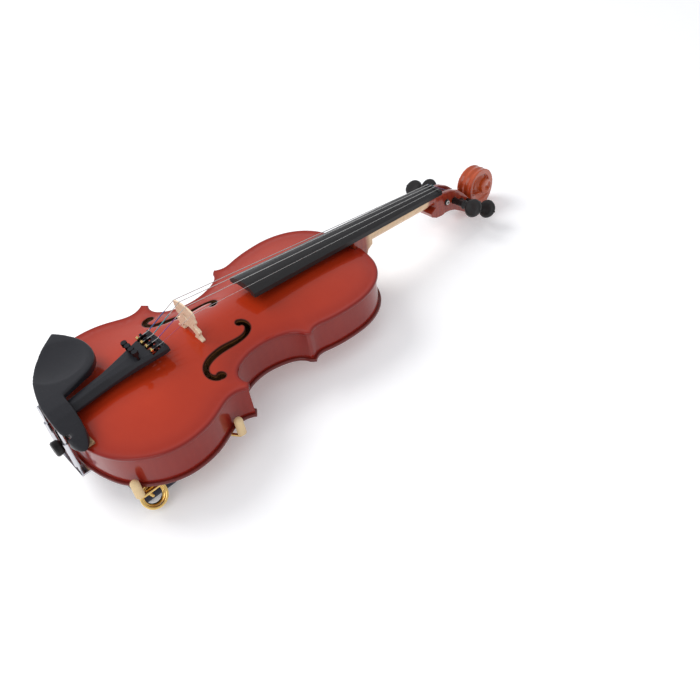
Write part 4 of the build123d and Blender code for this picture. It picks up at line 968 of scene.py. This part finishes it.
# Strings
def spans(node):
    # the places where a string bends, from the frame
    points = levelPoints(node)
    points = points[np.argsort(points[:, 0])]
    groups = np.split(points, np.nonzero(np.diff(points[:, 0]) > 2.0 * mm)[0] + 1)
    return [Vector((g.min(0) + g.max(0)) / 2) for g in groups], groups


def makeTube(name, points, radius, material, body="violin", stands=(), resolution=6):
    curve = bpy.data.curves.new(name, "CURVE")
    curve.dimensions = "3D"
    spline = curve.splines.new("POLY")
    spline.points.add(len(points) - 1)
    for point, place in zip(spline.points, points):
        point.co = (*(lay @ Vector(place)), 1)
    curve.bevel_depth = radius
    curve.bevel_resolution = resolution
    curve.use_fill_caps = True
    piece = bpy.data.objects.new(name, curve)
    scene.collection.objects.link(piece)
    return finishPiece(piece, material, body, stands)


def bendTube(name, points, radius, material):
    # a tube turned into a plain mesh, left where it was made and attached to no body
    piece = makeTube(name + "Path", points, radius, material)
    mesh = bpy.data.meshes.new_from_object(piece.evaluated_get(bpy.context.evaluated_depsgraph_get()))
    bpy.data.objects.remove(piece)
    mesh.name = name
    piece = bpy.data.objects.new(name, mesh)
    scene.collection.objects.link(piece)
    mesh.materials.clear()
    mesh.materials.append(material)
    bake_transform(piece)


stringRadii = {"g": 0.42 * mm, "d": 0.39 * mm, "a": 0.34 * mm, "e": 0.18 * mm}
stringSettings = dict(turns=5, tailSilk=24 * mm, gap=0.12 * mm, pegRadius=4.07 * mm, stepsPerTurn=40,
                      nutLength=2.4 * mm, coilReach=5.5 * mm, ballShift=0.8 * mm, silkStart=1.5,
                      pegGap=0.05 * mm)


def makeString(name):
    radius = stringRadii[name]
    corners, groups = spans(f"string_{name}")
    print("string", name, "bends at", [tuple(round(c / mm, 1) for c in p) for p in corners])
    joint = jointNamed(f"peg_{name}_turn")
    centre = lay.inverted() @ Vector(joint["pos_m"])
    ball, fret, bridgeTop, nutTop = corners[:4]
    wound = groups[-1][np.abs(groups[-1][:, 0] - centre.x) < stringSettings["coilReach"]]
    middle = (wound[:, 1].min() + wound[:, 1].max()) / 2
    wrap = stringSettings["pegRadius"] + radius
    run = math.hypot(centre.x - nutTop.x, centre.z - nutTop.z)
    reach = math.sqrt(run * run - wrap * wrap)
    heading = math.atan2(nutTop.z - centre.z, centre.x - nutTop.x) - math.asin(wrap / run)
    width = max(stringSettings["turns"] * 2 * radius, 2.0 * mm)
    touch = Vector((nutTop.x + reach * math.cos(heading), middle - width / 2 + radius,
                    nutTop.z - reach * math.sin(heading)))
    bearing = math.atan2(touch.z - centre.z, touch.x - centre.x)
    helix = []
    steps = stringSettings["turns"] * stringSettings["stepsPerTurn"]
    for i in range(steps + 1):
        a = bearing - 2 * math.pi * stringSettings["turns"] * i / steps
        helix.append(Vector((centre.x + wrap * math.cos(a), touch.y + (width - 2 * radius) * i / steps,
                             centre.z + wrap * math.sin(a))))
    route = [fret, bridgeTop, nutTop, nutTop + Vector((stringSettings["nutLength"], 0, 0))] + helix
    anchor = ball - Vector((stringSettings["ballShift"], 0, 0))
    tail = [anchor.lerp(fret, i / 12) for i in range(13)]
    bendTube(f"string_{name}_tail", tail, radius, steelString)
    makeTube(f"string_{name}_wire", route, radius, steelString,
             stands=[f"string_{name}"])
    along = (bridgeTop - fret).normalized()
    colour = silk(f"silk_{name}", silkColours[name])
    makeTube(f"string_{name}_tailSilk", [fret + along * stringSettings["silkStart"] * mm,
                                         fret + along * stringSettings["tailSilk"]],
             radius + stringSettings["gap"], colour)
    makeTube(f"string_{name}_pegSilk", [route[3]] + helix[: steps * 3 // 5],
             radius + stringSettings["pegGap"], colour)
    ballVerts, ballFaces = lathe([(-1.6 * mm, 1.1 * mm), (-1.5 * mm, 1.5 * mm), (-0.8 * mm, 1.6 * mm),
                                  (0.0, 1.15 * mm), (0.8 * mm, 1.6 * mm), (1.5 * mm, 1.5 * mm),
                                  (1.6 * mm, 1.1 * mm)],
                                 anchor, (0, 1, 0), 28)
    makePiece(f"string_{name}_ball", ballVerts, ballFaces, brass, body=f"tuner_lever_{name}")


for stringName in "gdae":
    makeString(stringName)
print("strings strung")


# Bridge
bridgeSettings = dict(low=4.4 * mm, high=1.5 * mm, spacing=1.1 * mm, ease=0.35 * mm)
bridgeShape = levelPoints("bridge")
seat = bridgeShape[:, 2].min()
crown = bridgeShape[:, 2].max() - seat
bridgeX = bridgeShape[bridgeShape[:, 2] < seat + 4 * mm][:, 0].mean()


def crownHeight(y):
    near = bridgeShape[(np.abs(bridgeShape[:, 1] - y * mm) < 2.2 * mm) & (bridgeShape[:, 2] > seat + 24 * mm)]
    return near[:, 2].max() / mm - seat / mm


crownPoints = [(y, crownHeight(y) - 0.15) for y in (16.2, 13, 9, 4.5, 0, -4.5, -9, -13, -16.2)]
flank = [(17.4, 27.5), (16.3, 24.8), (17.3, 21.8), (15.8, 18.9), (13.4, 17.9), (12.3, 16.0), (13.4, 13.9),
         (16.4, 13.0), (19.4, 10.6), (18.0, 7.6), (16.6, 5.4), (17.9, 3.5), (20.6, 1.8), (20.6, 0.2),
         (9.4, 0.9), (9.4, 2.4), (11.2, 4.0), (10.8, 5.8), (7.6, 7.6), (3.6, 8.8)]
heart = [(0, 17), (2.2, 18.6), (3.8, 21), (3, 23.2), (1.2, 23.4)]
bridgeOutline = crownPoints[::-1] + flank + [(0, 9.2)] + [(-y, z) for y, z in flank[::-1]]
heartLoop = heart + [(0, 21.8)] + [(-y, z) for y, z in heart[:0:-1]]
outlineLoop = flowing(np.array(bridgeOutline) * mm, 0.5 * mm, cornerAngle=62)
holeLoops = [flowing(np.array(heartLoop) * mm, 0.4 * mm, cornerAngle=70)]


def bridgeHalf(points, edgeGap, holeGap):
    share = np.clip(points[:, 1] / crown, 0, 1)
    half = (bridgeSettings["low"] + (bridgeSettings["high"] - bridgeSettings["low"]) * share**0.9) / 2
    return half - rounded(edgeGap, bridgeSettings["ease"]) - rounded(holeGap, bridgeSettings["ease"])


bridgeVerts, bridgeFaces, _, _ = slab(
    outlineLoop, holeLoops, bridgeSettings["spacing"], [0.12 * mm, 0.3 * mm, 0.6 * mm], [0.12 * mm, 0.3 * mm],
    bridgeHalf, lambda *given: -bridgeHalf(*given))
bridge = makePiece("bridgeCut", [(bridgeX + h, y, seat + z) for y, z, h in bridgeVerts], bridgeFaces,
                   bridgeMaple, stands=["bridge"])
cleanMesh(bridge.data)
bridge.data.set_sharp_from_angle(angle=math.radians(60))


# Tailpiece and chin rest, with the moulded edges eased
tailpiece = carved("tailpieceMoulded", "tailpiece", 0.36 * mm, 2)
finishPiece(tailpiece, blackPlastic, stands=["tailpiece"])
chinRest = carved("chinRestCup", "chinrest_plate", 0.75 * mm, 30)
finishPiece(chinRest, blackPlastic, stands=["chinrest_plate"])


# Shoulder rest: velvet cushion and hoop insets
def cushion():
    settings = dict(voxel=2.6 * mm, pressure=3.0, cap=2.6 * mm, frames=20)
    piece = bpy.data.objects.new("restCushion", frame["nodes"]["rest_pad"].data.copy())
    scene.collection.objects.link(piece)
    remesh = piece.modifiers.new("remesh", "REMESH")
    remesh.mode, remesh.voxel_size = "VOXEL", settings["voxel"]
    soften = piece.modifiers.new("soften", "SMOOTH")
    soften.factor, soften.iterations = 0.5, 4
    bpy.context.view_layer.update()
    piece.data = bpy.data.meshes.new_from_object(piece.evaluated_get(bpy.context.evaluated_depsgraph_get()))
    piece.modifiers.clear()
    rest = np.array([v.co for v in piece.data.vertices])
    cloth = piece.modifiers.new("cloth", "CLOTH")
    cloth.settings.quality = 6
    cloth.settings.mass = 0.15
    cloth.settings.tension_stiffness = 30
    cloth.settings.compression_stiffness = 30
    cloth.settings.bending_stiffness = 0.4
    cloth.settings.use_pressure = True
    cloth.settings.uniform_pressure_force = settings["pressure"]
    cloth.settings.effector_weights.gravity = 0
    cloth.collision_settings.use_collision = False
    for step in range(1, settings["frames"] + 1):
        scene.frame_set(step)
    puffed = bpy.data.meshes.new_from_object(piece.evaluated_get(bpy.context.evaluated_depsgraph_get()))
    piece.modifiers.clear()
    after = np.array([v.co for v in puffed.vertices])
    shift = after - rest
    length = np.linalg.norm(shift, axis=1)[:, None]
    rest = rest + shift * np.minimum(1, settings["cap"] / np.maximum(length, 1e-9))
    scene.frame_set(1)
    rest[:, 2] = np.maximum(rest[:, 2], cadLow.z + 0.1 * mm)
    piece.data.vertices.foreach_set("co", rest.ravel())
    piece.data.update()
    finer = piece.modifiers.new("round", "SUBSURF")
    finer.levels = finer.render_levels = 1
    finishPiece(piece, velvet, stands=["rest_pad"])
    print("cushion", len(piece.data.vertices), "vertices")


cushion()


hoops = dict(outer=10.4 * mm, tipDepth=16 * mm, clear=9.5 * mm, around=56)


def hoopInset(side, body):
    # a shallow brass cup inside the hoop, with its own rim
    points = levelPoints(f"rest_hoop_{side}")
    tip = points[np.abs(points[:, 1]) > np.abs(points[:, 1]).max() - hoops["tipDepth"]]
    centreX = (tip[:, 0].min() + tip[:, 0].max()) / 2
    ring = points[np.abs(points[:, 0] - centreX) > hoops["clear"]]
    sign = 1 if side == "bass" else -1
    low, high = ring[ring[:, 2].argmin()], ring[ring[:, 2].argmax()]
    axis = Vector((0, -(high - low)[2], (high - low)[1])).normalized()
    middle = Vector((centreX, (low[1] + high[1]) / 2, (low[2] + high[2]) / 2))
    if axis.y * sign < 0:
        axis = -axis
    outer, around = hoops["outer"], hoops["around"]
    profile = [(-3.4 * mm, outer - 2.2 * mm), (-3.6 * mm, outer - 1.5 * mm), (-3.2 * mm, outer - 1.0 * mm),
               (0, outer), (0.6 * mm, outer - 0.3 * mm), (0.5 * mm, outer - 0.9 * mm),
               (-2.8 * mm, outer - 1.8 * mm)]
    verts, _ = lathe(profile, middle, axis, around)
    rows = len(profile)
    faces = [(i * around + j, i * around + (j + 1) % around, ((i + 1) % rows) * around + (j + 1) % around,
              ((i + 1) % rows) * around + j) for i in range(rows) for j in range(around)]
    makePiece(f"hoopCup_{side}", verts, faces, brass, body=body)


for sideName in ("bass", "treble"):
    hoopInset(sideName, f"rest_end_{sideName}")


# Floor, light and camera
bpy.ops.mesh.primitive_plane_add(size=6.0, location=(0, 0, cadLow.z - 0.3 * mm))
floor = bpy.context.object
floor.name = "floor"
# the floor glows faintly of its own accord: painted light that lightens the shadows cast on it and throws
# light up onto the violin
floorMaterial, g, shader, place = newMaterial("floorPaper", Roughness=0.9, Specular_IOR_Level=0.1,
                                              Emission_Color=(1, 1, 1, 1), Emission_Strength=0.22)
paper = g.noise(place, 60.0, 3.0)
g.link(g.mix(paper.outputs["Fac"], (0.86, 0.86, 0.865), (0.90, 0.90, 0.90)), shader.inputs["Base Color"])
floor.data.materials.append(floorMaterial)

world = bpy.data.worlds.new("studio")
scene.world = world
world.use_nodes = True
world.node_tree.nodes["Background"].inputs["Color"].default_value = (0.93, 0.95, 1.0, 1)
world.node_tree.nodes["Background"].inputs["Strength"].default_value = 0.62


def softLight(name, place, aim, size, power, shines):
    data = bpy.data.lights.new(name, "AREA")
    data.shape = "DISK"
    data.size = size
    data.energy = power
    lamp = bpy.data.objects.new(name, data)
    scene.collection.objects.link(lamp)
    lamp.location = place
    lamp.visible_glossy = shines
    lamp.rotation_euler = (Vector(aim) - Vector(place)).to_track_quat("-Z", "Y").to_euler()


softLight("keyLight", (-0.45, 1.15, 1.35), (0, 0, 0.05), 1.3, 22, False)
softLight("fillLight", (-1.2, -0.5, 1.1), (0, 0, 0.05), 1.4, 6, True)

view = dict(lens=40.02, place=(-0.07926, -0.56346, 0.51399), turn=(47.787, 7.475, -42.740))
cameraData = bpy.data.cameras.new("camera")
cameraData.lens = view["lens"]
cameraData.clip_start = 0.02
camera = bpy.data.objects.new("camera", cameraData)
scene.collection.objects.link(camera)
heading = Euler([math.radians(a) for a in view["turn"]])
camera.matrix_world = lay @ Matrix.Translation(view["place"]) @ heading.to_matrix().to_4x4()
scene.camera = camera
